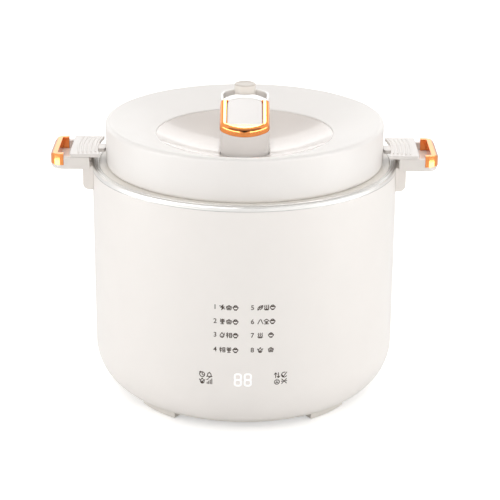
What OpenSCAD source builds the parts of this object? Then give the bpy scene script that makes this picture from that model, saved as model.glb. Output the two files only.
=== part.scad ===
// Electric pressure cooker: a round body with two latch handles, a lift-out pot,
// a lift-off lid and a knob whose pad tips a lever that lifts the steam valve.
// Millimetres, +Z up, the front faces -Y. The origin is on the table, under the body's centre.

/* [Body] */
// Outer radius of the body
body_r = 120; // [116:1:126]
// Height of the rim ring's top above the table
rim_z = 190; // [184:1:200]
// Wall of the body's shell and of its base
shell_wall = 2.4; // [1.8:0.1:3]
// Radius of the rounding at the bottom of the body
bottom_round = 38; // [32:1:44]
// Angle round that rounding at which the shell meets the base
seam_angle = 46; // [38:1:54]
// Height of the overlap of shell and base at the seam
seam_lap = 4; // [2:0.5:6]

/* [Rim] */
// Width of the silver rim ring
ring_w = 5.5; // [4.5:0.1:7]
// Height of the rim ring
ring_h = 4; // [3:0.1:5]
// Gap between the rim ring and the lid's wall
lid_gap = 5.5; // [4.5:0.1:6.5]
// Depth of the lid's seat below the top of the rim ring
seat_drop = 1.2; // [0.8:0.1:2]
// Width of the lid's flat seat
seat_w = 2.8; // [2.4:0.1:4]
// Thickness of the collar's walls
collar_wall = 2.2; // [1.6:0.1:3]

/* [Feet] */
// Height of the feet's plinths and rubbers under the body
foot_h = 3.5; // [2.8:0.1:6]
// Inner radius of the feet
foot_r = 84; // [80:1:86]
// Width of each foot along the radius
foot_w = 10.5; // [8:0.5:12]
// Angle that each foot spans
foot_span = 22; // [14:1:30]
// Height of the rubber below its plinth
rubber_h = 1.6; // [1:0.1:2.4]

/* [Pot] */
// Clearance round the pot's flange
pot_gap = 1.2; // [0.8:0.1:2]
// Width of the pot's flange
flange_w = 4; // [3.5:0.1:6]
// Thickness of the pot's flange
flange_t = 1.6; // [1.2:0.1:2]
// Wall of the pot
pot_wall = 2; // [1.4:0.1:2.6]
// Rounding at the bottom of the pot, outside
pot_round = 24; // [18:1:30]
// Depth of the pot's flange below the lid's seat, which is the seal's height
pot_sink = 5.8; // [5.2:0.1:7]

/* [Liner and heater] */
// Gap between the pot's wall and the liner
liner_gap = 2.4; // [1.6:0.1:3.4]
// Sheet thickness of the liner
liner_wall = 1; // [0.8:0.1:1.4]
// Height of the liner's floor above the table
liner_z = 30; // [28:1:32]
// Height of the heating plate's top above the table
plate_z = 44; // [42:1:48]
// Radius of the heating plate
plate_r = 76; // [72:1:78]
// Thickness of the heating plate
plate_t = 10; // [8:0.5:11]
// Radius of the heating tube's circle
tube_ring_r = 52; // [44:1:60]
// Radius of the heating tube
tube_r = 3.6; // [2.8:0.1:4.2]
// Radius of the temperature sensor's cap
sensor_r = 15.5; // [12:0.5:18]
// How far the sensor's cap can be pressed down
sensor_travel = 2.5; // [1:0.1:3]

/* [Lid] */
// Height of the lid's crest above its seat
lid_h = 34.2; // [32:0.1:38]
// Wall of the lid's cover
lid_wall = 2.4; // [1.8:0.1:3]
// Rounding at the lid's lower edge
lid_edge = 3; // [2.5:0.1:4]
// Rounding at the lid's upper edge
lid_crest = 3; // [2:0.1:5]
// Inward fall of the lid's top, in degrees
lid_fall = 16.5; // [13:0.5:17.5]
// Width of the lid's sloping top, from its crest to the dish
slope_w = 36.5; // [32:0.5:40]
// Depth of the dish below its rim
dish_depth = 16.2; // [15.5:0.1:17]
// Thickness of the dish
dish_t = 2.2; // [1.8:0.1:2.6]
// Rounding of the lid's edge round the dish
rim_round = 1.2; // [0.8:0.1:2]

/* [Knob] */
// Half of the knob's width
knob_hw = 19.2; // [18.6:0.1:21]
// How far the knob's front stands before the lid's centre
knob_front = 21; // [20.5:0.1:24]
// Radius of the curve of the knob's front, seen from above
knob_bow = 30; // [26:1:40]
// Radius of the knob's front corners
knob_corner = 6; // [4:0.5:8]
// Distance of the knob's round back end's centre behind the lid's centre
knob_back = 22; // [21:0.1:24]
// Height of the knob's plinth above the bottom of the dish
plinth_h = 3.2; // [2.6:0.1:3.8]
// Height of the knob's front edge above its plinth
knob_front_h = 19.8; // [19:0.1:22]
// Height of the knob's crest above its plinth
knob_crest_h = 37.8; // [37:0.1:40]
// Slope of the knob's pad, in degrees
pad_slope = 23.7; // [22.5:0.1:25]
// Wall of the knob
knob_wall = 2.4; // [2:0.1:3]

/* [Pad and trim] */
// Width of the metal trim beside the pad
trim_w = 5; // [4:0.1:5.6]
// Width of the metal trim before the pad
trim_front = 2.8; // [2.2:0.1:3.6]
// Height of the metal trim
trim_h = 5.2; // [4:0.1:5.6]
// How far the trim stands proud of the knob
trim_proud = 0.5; // [0.3:0.1:0.8]
// Thickness of the pad
pad_t = 3.6; // [3:0.1:4]
// Travel of the pad
pad_travel = 2.5; // [1.5:0.1:2.8]
// Radius of the pad's plunger
plunger_r = 3; // [2.4:0.1:3.4]
// Distance of the plunger's axis before the lid's centre
plunger_y = 2; // [0:0.5:3]

/* [Steam valve] */
// Distance of the valve's axis behind the lid's centre
valve_y = 30; // [29.5:0.1:30.5]
// Radius of the valve's cap
cap_r = 8.4; // [7.6:0.1:8.6]
// Height of the valve cap's top above the knob's crest
cap_rise = 6.6; // [5:0.1:9]
// Rounding of the valve cap's top edge
cap_edge = 2.2; // [1:0.1:3]
// Outer radius of the steam pipe
pipe_r = 4; // [3.4:0.1:4.2]
// Radius of the steam pipe's bore
steam_r = 1.8; // [1.2:0.1:2.2]
// Radius of the float's stem
float_r = 2.5; // [2:0.1:2.7]
// Rise of the float
float_rise = 4; // [2:0.1:4.5]
// Radius of the release lever's pin
pin_r = 1.5; // [1.2:0.1:1.8]

/* [Handles] */
// Height of the handles' running face above the rim ring
handle_rise = 7.7; // [7.2:0.1:9]
// Thickness of the handles
handle_t = 9.3; // [8.6:0.1:11]
// Reach of each handle beyond the body's shell
handle_reach = 30.8; // [29:0.1:36]
// Half of each handle's width
handle_hw = 25.2; // [23:0.1:30]
// Radius of each handle's outer corners
handle_corner = 9; // [5:0.5:11]
// Drop of the brackets below the handles
bracket_drop = 17.4; // [14:0.1:22]
// Thickness of the brackets outside the shell
bracket_t = 6; // [5:0.1:7]
// Length of each metal end cap
cap_len = 10.3; // [9:0.1:12]
// Height of each metal end cap
cap_h = 9.1; // [8.6:0.1:10]

/* [Latches] */
// Gap between the lid's wall and each latch's thumb plate
thumb_gap = 6.3; // [5.6:0.1:7]
// Thickness of each thumb plate
thumb_t = 2.7; // [2.2:0.1:3.2]
// Half of each bolt's width
bolt_hw = 7; // [5:0.5:9]
// Thickness of each bolt
bolt_t = 2.8; // [2.4:0.1:3.2]
// Depth of each bolt in the groove of its thumb plate
bolt_inset = 1.8; // [1:0.1:2]
// Play above and below each bolt in its slot in the lid
slot_play = 2; // [1.6:0.1:2.2]
// Travel of the latches towards the lid, to lock it
latch_in = 4.5; // [3.5:0.1:5]
// Travel of the latches away from the lid
latch_out = 4; // [3:0.1:4.2]
// Number of ribs on each thumb plate
rib_n = 5; // [3:1:6]
// Spacing of the ribs
rib_pitch = 3.3; // [2.8:0.1:3.5]

/* [Power inlet] */
// Height of the power inlet's centre above the table
inlet_z = 60; // [58:1:90]
// Width of the inlet's socket
inlet_w = 24.4; // [23:0.1:25]
// Height of the inlet's socket
inlet_h = 16.4; // [15.5:0.1:17.5]
// Wall of the inlet's socket
inlet_wall = 2; // [1.6:0.1:2.6]
// Depth of the inlet's socket
inlet_depth = 13.5; // [12:0.1:14]

/* [Controls] */
// Height of the display's centre above the table
display_z = 53; // [51:1:60]
// Width of the display
display_w = 26; // [22:1:30]
// Height of the display
display_h = 17; // [14:1:18]
// Distance of each touch pad from the display's centre
touch_x = 28; // [26:0.5:29]
// Width of the display's circuit board
board_w = 72; // [70:1:76]
// Height of the display's circuit board
board_h = 78; // [70:1:90]

/* [Hidden] */

// Finishes
ivory = [0.95, 0.93, 0.91];
ivory_dark = [0.88, 0.86, 0.83];
silver = [0.80, 0.81, 0.83];
rose_gold = [0.93, 0.60, 0.42];
steel = [0.72, 0.72, 0.73];
brass_tone = [0.78, 0.64, 0.36];
silicone = [0.86, 0.85, 0.82];
board_green = [0.10, 0.36, 0.24];
black = [0.10, 0.10, 0.11];
pot_grey = [0.35, 0.34, 0.33];

// Clearances
fit = 0.2;
touch = 0.1;
air = 0.3;
run = 0.08;
eps = 0.01;
far = 400;
$fn = 96;

// Radial stack, from the shell inwards
ring_in = body_r - ring_w;
lid_r = ring_in - lid_gap;
seat_r = lid_r - lid_edge;
mouth_r = seat_r - seat_w;
flange_r = mouth_r - pot_gap;
pot_r = flange_r - flange_w;
liner_r = pot_r + liner_gap + liner_wall;
shell_in = body_r - shell_wall;

// Heights
ring_z = rim_z - ring_h;
seat_z = rim_z - seat_drop;
flange_z = seat_z - pot_sink;
liner_top = flange_z - flange_t - 0.4;
seam_z = foot_h + bottom_round * (1 - sin(seam_angle));
floor_z = foot_h + shell_wall;
plate_under = plate_z - plate_t;
plinth_z = rubber_h;

// Lid
crest_z = seat_z + lid_h;
crest_r = lid_r - lid_crest;
dish_r = crest_r - slope_w;
dish_z = crest_z - (crest_r - dish_r) * tan(lid_fall);
dish_low = dish_z - dish_depth;
dish_edge = dish_r - fit;
rim_drop = 0.7 * rim_round;
dish_sag = dish_depth - rim_drop;
dish_ball = (dish_edge * dish_edge + dish_sag * dish_sag) / (2 * dish_sag);
ledge_w = 2.1;
ledge_drop = 4.2;
deck_low = seat_z - 0.2;
deck_t = 2.4;
deck_z = deck_low + deck_t;
lip_z = seat_z + lid_wall;
frame_r = lid_r - lid_wall - 0.4;
rib_from = 44;
boss_r = 4;
boss_ring = mouth_r - 13.2;
screw_r = 1.6;
head_r = 3;
head_t = 1.6;
stud_r = 5;
plate_top = deck_low - 1.4;
plate_low = plate_top - 1.2;

// Knob
knob_z = dish_low + plinth_h;
frame_pad = knob_z - 5.2;
knob_screws = [[12.6, 0], [-12.6, 0], [0, -13.5]];
knob_top = knob_z + knob_crest_h;
bow_y = knob_bow - knob_front;
slope_k = tan(pad_slope);
slope_z = knob_z + knob_front_h + slope_k * knob_front;
arch_bow = 27;
arch_y = 21;
pad_y = arch_y - 4.6;
trim_end = 13;
well_wall = 2;
well_z = knob_top - 15;
well_floor = 2;
cavity_z = well_z - well_floor;
chamber = pad_t + pad_travel + 1.2;
chamber_floor = 2;

// Release lever, level at rest, with its two noses the same distance from the pin
pivot_y = (valve_y - plunger_y) / 2;
pivot_z = knob_z + 11.5;
arm = valve_y - pivot_y;
nose_r = 1;
hub_r = 3.2;
hub_hw = 5;
cheek_t = 2.6;
fork_in = pipe_r + 0.6;
fork_out = fork_in + 2.4;
nose_top = pivot_z + nose_r;
collar_low = nose_top + air;

// Pad's plunger and spring
spring_r = plunger_r + 1.2;
spring_reach = plunger_y + spring_r + 1.2;
clip_z = collar_low + 0.9;
clip_t = 0.8;
shelf_z = clip_z + clip_t + touch;
spring_z = shelf_z + 1.4;
spring_top = slope_z - slope_k * spring_reach - pad_t - 0.2;
plunger_top = slope_z - slope_k * (plunger_y + plunger_r) - pad_t + 0.8;

// Valve and float
pipe_top = knob_top - 9;
pipe_low = flange_z + 0.4;
cap_rim = knob_top + cap_rise;
skirt_r = fork_out + 0.6;
float_x = -11.6;
float_y = 24.6;
float_head = 3.4;
float_foot = 4.6;
float_low = plate_low - float_rise - 3.6;

// Handles and latches
run_z = rim_z + handle_rise;
handle_z = run_z - handle_t;
handle_x = body_r + 0.5;
handle_end = body_r + handle_reach;
cap_x = handle_end - cap_len;
cap_z = run_z + thumb_t + 0.2 - cap_h;
cap_wall = 5.5;
pocket_hw = handle_hw - 4.2;
pocket_z = run_z - 5.4;
thumb_z = run_z + fit;
thumb_r = lid_r + thumb_gap;
thumb_x = cap_x - latch_out - 0.8;
bolt_z = thumb_z + bolt_inset - bolt_t;
bolt_tip = lid_r + 0.4;
bolt_end = thumb_x - 3;
lug_x = thumb_x - 4.2;
pocket_x = lug_x - latch_in - 0.5;
bracket_z = handle_z - bracket_drop;
bracket_hw = handle_hw - 2.4;
screw_y = 14;
screw_z = bracket_z + 6;
keeper_t = 2;

// Power inlet
inlet_face = body_r - 1.8;
flange_lip = 1.6;
pin_w = 4;
pin_t = 2;
pin_gap = 7;
pin_places = [[-pin_gap, -2], [pin_gap, -2], [0, 2]];

// Base, bracket and boards
post_angles = [90, 210, 330];
post_ring = plate_r - 10;
bracket_x = sensor_r + 7;
bridge_w = 14;
bridge_t = 1.2;
bridge_foot = 10;
bracket_floor = liner_z - 5;
board_base = floor_z + 6;
board_box = [42 - body_r, -12, 64, 46];
transformer_at = [12, 4, 0];
transformer = [19, 15, 13];
relay_at = [36, 24, 0];
relay = [16, 14, 12];
terminals_at = [40, 8, 0];
terminals = [10, 4, 2];
key_r = 5;
key_depth = 12;
board_posts = [
    for (x = [board_box[0] + 5, board_box[0] + board_box[2] - 5])
        for (y = [board_box[1] + 5, board_box[1] + board_box[3] - 5]) [x, y]
];
board_t = 1.6;
board_y = -(body_r - 10);
board_low = display_z - 13;

// ---------------------------------------------------------------- shared shapes

module ring(outer, inner, low, high) {
    difference() {
        translate([0, 0, low]) cylinder(r = outer, h = high - low);
        translate([0, 0, low - 1]) cylinder(r = inner, h = high - low + 2);
    }
}

module post(x, y, r, low, high) {
    translate([x, y, low]) cylinder(r = r, h = high - low, $fn = 48);
}

// A cup's half section with a rounded bottom edge, filled to the axis
module cup_section(r, low, high, round) {
    translate([0, low + round]) square([r, high - low - round]);
    translate([0, low]) square([r - round, round + eps]);
    translate([r - round, low + round]) circle(r = round);
}

module body_section(inset, high) {
    cup_section(body_r - inset, foot_h + inset, high, bottom_round - inset);
}

// A strip of the half section between two heights
module strip(low, high) {
    translate([0, low]) square([far, high - low]);
}

// The same thing at both ends of the X axis
module on_side(left) {
    mirror([left ? 1 : 0, 0, 0]) children();
}

// A shape in the Y-Z plane, drawn as [y, z], spread evenly to both sides of X
module across(width) {
    rotate([90, 0, 90]) translate([0, 0, -width / 2]) linear_extrude(width) children();
}

// A shape in the X-Z plane, drawn as [x, z], spread evenly to both sides of Y
module along_y(width) {
    rotate([90, 0, 0]) translate([0, 0, -width / 2]) linear_extrude(width) children();
}

// A coil of round wire on the Z axis, between two levels
module coil(radius, wire, low, high, turns) {
    sides = 6;
    steps = 14 * turns;
    function ring_point(i, k) =
        let (
            a = 360 * turns * i / steps,
            b = 360 * k / sides,
            rr = radius + wire * cos(b)
        )
        [
            rr * cos(a),
            rr * sin(a),
            low + wire + (high - low - 2 * wire) * i / steps + wire * sin(b)
        ];
    points = [for (i = [0:steps]) for (k = [0:sides - 1]) ring_point(i, k)];
    walls = [
        for (i = [0:steps - 1])
            for (k = [0:sides - 1])
                let (n = (k + 1) % sides)
                [i * sides + k, (i + 1) * sides + k, (i + 1) * sides + n, i * sides + n]
    ];
    start = [[for (k = [0:sides - 1]) k]];
    end = [[for (k = [sides - 1:-1:0]) steps * sides + k]];
    polyhedron(points = points, faces = concat(walls, start, end), convexity = 8);
}

// ---------------------------------------------------------------- body

module outer_shell() {
    color(ivory) difference() {
        union() {
            rotate_extrude() difference() {
                body_section(0, ring_z);
                body_section(shell_wall, far);
                strip(-far, seam_z);
            }
            inlet_boss();
        }
        inlet_window();
        for (left = [false, true]) on_side(left) screw_holes(screw_r + 0.5);
        display_pocket();
    }
}

// Backing inside the shell, behind the power inlet's flat
module inlet_boss() {
    intersection() {
        translate([0, 0, inlet_z - inlet_h]) cylinder(r = body_r - shell_wall / 2, h = 2 * inlet_h);
        translate([-inlet_w / 2 - 8, inlet_face - 4, inlet_z - inlet_h / 2 - 6])
            cube([inlet_w + 16, far, inlet_h + 12]);
    }
}

module inlet_window() {
    translate([0, 0, inlet_z]) {
        along_window(inlet_w + 2 * inlet_wall + 2 * touch, inlet_h + 2 * inlet_wall + 2 * touch, 90);
        translate([0, inlet_face, 0]) along_window(inlet_w + 10.2, inlet_h + 9.2, 0);
    }
}

module along_window(w, h, from) {
    translate([-w / 2, from, -h / 2]) cube([w, far, h]);
}

module display_pocket() {
    pocket = 1.2;
    half = asin((display_w / 2 + 1) / shell_in);
    rotate_extrude(angle = 2 * half, start = -90 - half)
        translate([shell_in - 1, display_z - display_h / 2 - 1]) square([1 + pocket, display_h + 2]);
}

// Horizontal screw holes that fasten one handle's bracket
module screw_holes(r) {
    for (y = [-screw_y, screw_y])
        translate([body_r - 12, y, screw_z]) rotate([0, 90, 0]) cylinder(r = r, h = 16, $fn = 32);
}

module base_cover() {
    color(ivory_dark) difference() {
        union() {
            rotate_extrude() base_section();
            for (a = [45:90:315])
                rotate_extrude(angle = foot_span, start = a - foot_span / 2)
                    translate([foot_r - 1, plinth_z])
                        square([foot_w + 2, foot_h + shell_wall - plinth_z + 1]);
            for (p = board_posts) post(p[0], p[1], 3, floor_z - 0.5, board_base);
        }
        for (a = [45:90:315])
            rotate_extrude(angle = foot_span - 1, start = a - foot_span / 2 + 0.5)
                translate([foot_r, plinth_z - 1]) square([foot_w, 1.8]);
        vents();
        for (a = post_angles) rotate([0, 0, a]) {
            post(post_ring, 0, screw_r + 0.3, foot_h - 1, floor_z + 1);
            post(post_ring, 0, head_r + 0.3, foot_h - 1, foot_h + head_t + touch);
        }
    }
}

module base_section() {
    difference() {
        body_section(0, far);
        body_section(shell_wall, far);
        strip(seam_z, far);
    }
    intersection() {
        difference() {
            body_section(shell_wall + fit, far);
            body_section(shell_wall + fit + 1.6, far);
        }
        strip(seam_z - 3, seam_z + seam_lap);
    }
    intersection() {
        difference() {
            body_section(shell_wall / 2, far);
            body_section(shell_wall + fit + 1, far);
        }
        strip(seam_z - 3, seam_z);
    }
}

// Rings of radial slots that let the base breathe
module vents() {
    for (row = [[34, 10, 16], [48, 10, 24]])
        for (i = [0:row[2] - 1])
            rotate([0, 0, 360 * i / row[2] + 7.5])
                translate([row[0], -1.1, foot_h - 1]) cube([row[1], 2.2, shell_wall + 2]);
}

module feet() {
    color(ivory_dark) for (a = [45:90:315])
        rotate_extrude(angle = foot_span - 2, start = a - foot_span / 2 + 1)
            translate([foot_r + fit, 0]) pad_section(foot_w - 2 * fit, plinth_z + 0.8, 0.7);
}

// A strip with its two lower corners rounded
module pad_section(w, h, r) {
    translate([0, r]) square([w, h - r]);
    translate([r, 0]) square([w - 2 * r, r + eps]);
    translate([r, r]) circle(r = r);
    translate([w - r, r]) circle(r = r);
}

module base_screws() {
    color(steel) for (a = post_angles) rotate([0, 0, a]) {
        post(post_ring, 0, head_r, foot_h, foot_h + head_t);
        post(post_ring, 0, screw_r, foot_h + head_t - eps, floor_z + 8);
    }
}

module rim_ring() {
    edge = 1.2;
    groove = 0.45;
    color(silver) rotate_extrude() difference() {
        union() {
            translate([ring_in, ring_z]) square([ring_w, ring_h - edge]);
            translate([ring_in + edge, ring_z]) square([ring_w - 2 * edge, ring_h]);
            translate([ring_in + edge, rim_z - edge]) circle(r = edge);
            translate([body_r - edge, rim_z - edge]) circle(r = edge);
        }
        translate([ring_in + 0.42 * ring_w, rim_z]) circle(r = groove, $fn = 24);
    }
}

// Ivory ring inside the rim: it carries the lid's seat and hangs on the liner's flange
module collar() {
    color(ivory) rotate_extrude() collar_section();
}

module collar_section() {
    outer = ring_in - touch;
    rise = 0.5;
    polygon([
        [mouth_r, seat_z],
        [lid_r + 2, seat_z],
        [outer, seat_z + rise],
        [outer, ring_z - touch],
        [shell_in - touch, ring_z - touch],
        [shell_in - touch, ring_z - 5],
        [shell_in - touch - collar_wall, ring_z - 5],
        [shell_in - touch - collar_wall, ring_z - touch - collar_wall],
        [mouth_r + collar_wall, ring_z - touch - collar_wall],
        [mouth_r + collar_wall, liner_top],
        [mouth_r, liner_top]
    ]);
}

// Sheet liner: the pot's chamber
module liner() {
    round = 20;
    color(steel) difference() {
        rotate_extrude() {
            difference() {
                cup_section(liner_r, liner_z, liner_top, round);
                cup_section(liner_r - liner_wall, liner_z + liner_wall, far, round - liner_wall);
            }
            translate([liner_r - liner_wall, liner_top - liner_wall])
                square([mouth_r + collar_wall + 3 - liner_r + liner_wall, liner_wall]);
        }
        translate([0, 0, liner_z - 1]) cylinder(r = plate_r - 6, h = liner_wall + 2);
    }
}

module heating_plate() {
    leg_r = 3;
    color(steel) difference() {
        union() {
            rotate_extrude() difference() {
                union() {
                    translate([0, plate_under]) square([plate_r, plate_t - 2]);
                    translate([0, plate_under]) square([plate_r - 2, plate_t]);
                    translate([plate_r - 2, plate_z - 2]) circle(r = 2);
                }
                translate([tube_ring_r, plate_under]) circle(r = tube_r + touch);
            }
            for (a = [30:60:330]) rotate([0, 0, a])
                post(plate_r - leg_r, 0, leg_r - 0.2, liner_z + liner_wall, plate_under + eps);
        }
        post(0, 0, sensor_r + 1.5, plate_under - 1, plate_z + 1);
        for (side = [-1, 1])
            post(side * bracket_x, 0, screw_r, plate_under - 1, plate_under + 5);
    }
}

module heating_tube() {
    gap_angle = 24;
    pin_angle = gap_angle / 2 + 4;
    pin_len = 11;
    color(silver) {
        rotate_extrude(angle = 360 - gap_angle, start = -90 + gap_angle / 2)
            translate([tube_ring_r, plate_under]) circle(r = tube_r);
        for (s = [-1, 1]) rotate([0, 0, -90 + s * pin_angle])
            translate([tube_ring_r, 0, plate_under - 1 - pin_len]) cylinder(r = 2.2, h = pin_len);
    }
}

// Bridge under the heating plate that guides the sensor's stem and carries its spring
module sensor_bracket() {
    leg = bracket_x + bridge_foot / 2;
    color(steel) difference() {
        union() {
            translate([-leg, -bridge_w / 2, bracket_floor]) cube([2 * leg, bridge_w, bridge_t]);
            for (s = [-1, 1])
                translate([s * (leg - bridge_t / 2) - bridge_t / 2, -bridge_w / 2, bracket_floor])
                    cube([bridge_t, bridge_w, plate_under - bracket_floor]);
            for (s = [-1, 1])
                translate([s * bracket_x - bridge_foot / 2, -bridge_w / 2, plate_under - bridge_t])
                    cube([bridge_foot, bridge_w, bridge_t]);
        }
        post(0, 0, 3.1 + run, bracket_floor - 1, bracket_floor + 2);
        for (s = [-1, 1]) post(s * bracket_x, 0, screw_r, plate_under - 2, plate_under + 1);
    }
}

// Spring-loaded cup whose flat top touches the pot
module sensor_cap() {
    cup = sensor_travel + 4.5;
    color(silver) rotate_extrude() {
        translate([0, plate_z - 1.4]) square([sensor_r - 1, 1.4]);
        translate([0, plate_z - 2.4]) square([sensor_r, 1.4]);
        translate([sensor_r - 1, plate_z - 1]) circle(r = 1, $fn = 32);
        translate([sensor_r - 1.4, plate_z - cup]) square([1.4, cup - 1]);
        difference() {
            translate([0, bracket_floor - 4]) square([3.1, plate_z - 1.4 - bracket_floor + 4]);
            translate([2.6, bracket_floor - 1.1]) square([2, 1]);
        }
    }
}

// Ring on the sensor's stem that stops it under the bracket
module sensor_clip() {
    color(steel) difference() {
        post(0, 0, 5, bracket_floor - 1.1, bracket_floor - 0.1);
        post(0, 0, 2.6, 0, far);
    }
}

module sensor_spring() {
    color(steel) coil(sensor_r - 8, 0.5, bracket_floor + 1.2, plate_z - 2.4, 6);
}

module thermal_fuse() {
    x = 34;
    w = 8;
    length = 30;
    h = 5;
    color(ivory_dark)
        translate([x - w / 2, -length / 2 - 1, plate_under - h]) cube([w, length, h]);
    color(silver) for (s = [-1, 1])
        translate([x, -1 + s * (length / 2 + 4), plate_under - h / 2]) rotate([90, 0, 0])
            cylinder(r = 1, h = 9, center = true, $fn = 24);
}

// Posts that carry the liner on the base
module liner_posts() {
    color(steel) for (a = post_angles) rotate([0, 0, a]) difference() {
        union() {
            post(post_ring, 0, 4.5, floor_z, liner_z - 2);
            translate([post_ring - 5, -6, liner_z - 2]) cube([22, 12, 2]);
        }
        post(post_ring, 0, screw_r + 0.02, floor_z - 1, floor_z + 9);
    }
}

module power_board() {
    color(board_green) difference() {
        translate([board_box[0], board_box[1], board_base]) cube([board_box[2], board_box[3], board_t]);
        for (p = board_posts) post(p[0], p[1], 1.4, board_base - 1, board_base + board_t + 1);
    }
}

// Relay, transformer, capacitor, terminals and small parts on the power board
module board_parts() {
    top = board_base + board_t;
    x = board_box[0];
    y = board_box[1];
    color(black) {
        translate([x, y, top] + transformer_at) cube(transformer);
        translate([x, y, top] + relay_at) cube(relay);
        translate([x, y, top] + terminals_at) cube(terminals);
    }
    color(silver) {
        post(x + 24, y + 32, 5, top, top + 12);
        post(x + 10, y + 33, 3.5, top, top + 9);
        for (i = [0:2]) translate([x + 36 + 6 * i, y + 15, top]) cube([1, 4, 7]);
    }
}

module display_board() {
    color(board_green)
        translate([-board_w / 2, board_y - board_t, board_low]) cube([board_w, board_t, board_h]);
}

// Two-digit display behind the thinned wall, its front following the shell
module display_module() {
    color(black) intersection() {
        translate([-display_w / 2, -body_r, display_z - display_h / 2])
            cube([display_w, body_r + board_y - board_t, display_h]);
        cylinder(r = shell_in + 0.9, h = far);
    }
}

// Moulded frame that holds the display's board against the shell
module display_holder() {
    wall = 2;
    low = board_low - wall - touch;
    color(ivory_dark) difference() {
        intersection() {
            translate([-board_w / 2 - wall - touch, -body_r, low])
                cube([board_w + 2 * wall + 2 * touch, body_r + board_y, board_h + 2 * wall + 2 * touch]);
            cylinder(r = shell_in - touch, h = far);
        }
        translate([-board_w / 2 - touch, board_y - board_t - touch, board_low - touch])
            cube([board_w + 2 * touch, 10, board_h + 2 * touch]);
        translate([-board_w / 2 + wall, -body_r, board_low + wall])
            cube([board_w - 2 * wall, body_r, board_h - 2 * wall]);
    }
}

module touch_pads() {
    color(black) for (s = [-1, 1]) intersection() {
        translate([s * touch_x, board_y - board_t, display_z]) rotate([90, 0, 0])
            cylinder(r = key_r, h = key_depth, $fn = 32);
        cylinder(r = shell_in - touch, h = far);
    }
}

// Socket for a detachable lead, with the two lower corners cut
module power_inlet() {
    back = inlet_face + flange_lip - inlet_depth - 2;
    color(black) translate([0, 0, inlet_z]) difference() {
        union() {
            translate([-inlet_w / 2 - inlet_wall, back, -inlet_h / 2 - inlet_wall])
                cube([inlet_w + 2 * inlet_wall, inlet_face - back, inlet_h + 2 * inlet_wall]);
            translate([0, inlet_face + flange_lip / 2, 0]) along_y(flange_lip)
                round_box(inlet_w + 10, inlet_h + 9, 3);
        }
        translate([0, inlet_face + flange_lip - inlet_depth / 2 + 0.5, 0])
            along_y(inlet_depth + 1) socket_outline();
        for (p = pin_places) translate([p[0] - pin_t / 2, back - 1, p[1] - pin_w / 2])
            cube([pin_t, 6, pin_w]);
    }
}

module round_box(w, h, r) {
    square([w - 2 * r, h], center = true);
    square([w, h - 2 * r], center = true);
    for (x = [-1, 1]) for (y = [-1, 1])
        translate([x * (w / 2 - r), y * (h / 2 - r)]) circle(r = r);
}

module socket_outline() {
    w = inlet_w / 2;
    h = inlet_h / 2;
    cut = 4.2;
    polygon([[-w, -h], [w, -h], [w, h - cut], [w - cut, h], [cut - w, h], [-w, h - cut]]);
}

module inlet_pins() {
    back = inlet_face + flange_lip - inlet_depth - 2;
    color(brass_tone) for (p = pin_places)
        translate([p[0] - pin_t / 2, back - 1.6, inlet_z + p[1] - pin_w / 2])
            cube([pin_t, inlet_depth - 1.7, pin_w]);
}

// ---------------------------------------------------------------- handles

// Outline of a handle from above, its two outer corners rounded
module handle_plan(grow, from) {
    r = handle_corner + grow;
    x = handle_end - handle_corner;
    y = handle_hw - handle_corner;
    translate([from, -handle_hw - grow]) square([x - from, 2 * handle_hw + 2 * grow]);
    translate([x - eps, -y]) square([r + eps, 2 * y]);
    for (s = [-1, 1]) translate([x, s * y]) circle(r = r);
}

// Outline of a handle and its bracket from the front, with rounded lower corners
module handle_front() {
    low = 4;
    knee = 5;
    x = body_r + bracket_t;
    translate([handle_x, handle_z]) square([handle_end - handle_x - low, handle_t]);
    translate([handle_end - low - eps, handle_z + low]) square([low + eps, handle_t - low]);
    translate([handle_end - low, handle_z + low]) circle(r = low);
    translate([body_r - 12, bracket_z]) square([12 + bracket_t - knee, bracket_drop + 1.5]);
    translate([x - knee - eps, bracket_z + knee]) square([knee + eps, bracket_drop - knee + 1.5]);
    translate([x - knee, bracket_z + knee]) circle(r = knee);
}

module handle() {
    color(ivory) difference() {
        union() {
            intersection() {
                translate([0, 0, handle_z - eps]) linear_extrude(handle_t + 1) handle_plan(0, handle_x);
                along_y(2 * handle_hw + 4) handle_front();
            }
            intersection() {
                along_y(2 * bracket_hw) handle_front();
                translate([body_r - 12, -bracket_hw, bracket_z - 1])
                    cube([12 + bracket_t, 2 * bracket_hw, bracket_drop + 2.5]);
            }
        }
        cylinder(r = body_r + touch, h = far);
        latch_pocket();
        translate([cap_x - touch, -far / 2, cap_z]) cube([far, far, far]);
        screw_holes(screw_r + 0.02);
        for (s = [-1, 1]) post(cap_x + 2.6, s * (handle_hw - 2.1), 1.1, cap_z - 3.2, cap_z + 1);
        grip_hollow();
    }
}

// Pocket and channel in which the bolt slides
module latch_pocket() {
    translate([pocket_x, -pocket_hw, pocket_z]) cube([far, 2 * pocket_hw, far]);
    translate([0, -bolt_hw - fit, bolt_z - air]) cube([pocket_x + 1, 2 * bolt_hw + 2 * fit, far]);
}

// Shallow hollow for the fingertips under the handle
module grip_hollow() {
    across_x = cap_x - pocket_x - 4;
    translate([pocket_x + 3 + across_x / 2, 0, handle_z - 6.5]) rotate([90, 0, 0])
        cylinder(r = 8, h = 2 * pocket_hw - 4, center = true);
}

module handle_right() {
    handle();
}

module handle_left() {
    on_side(true) handle();
}

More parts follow.
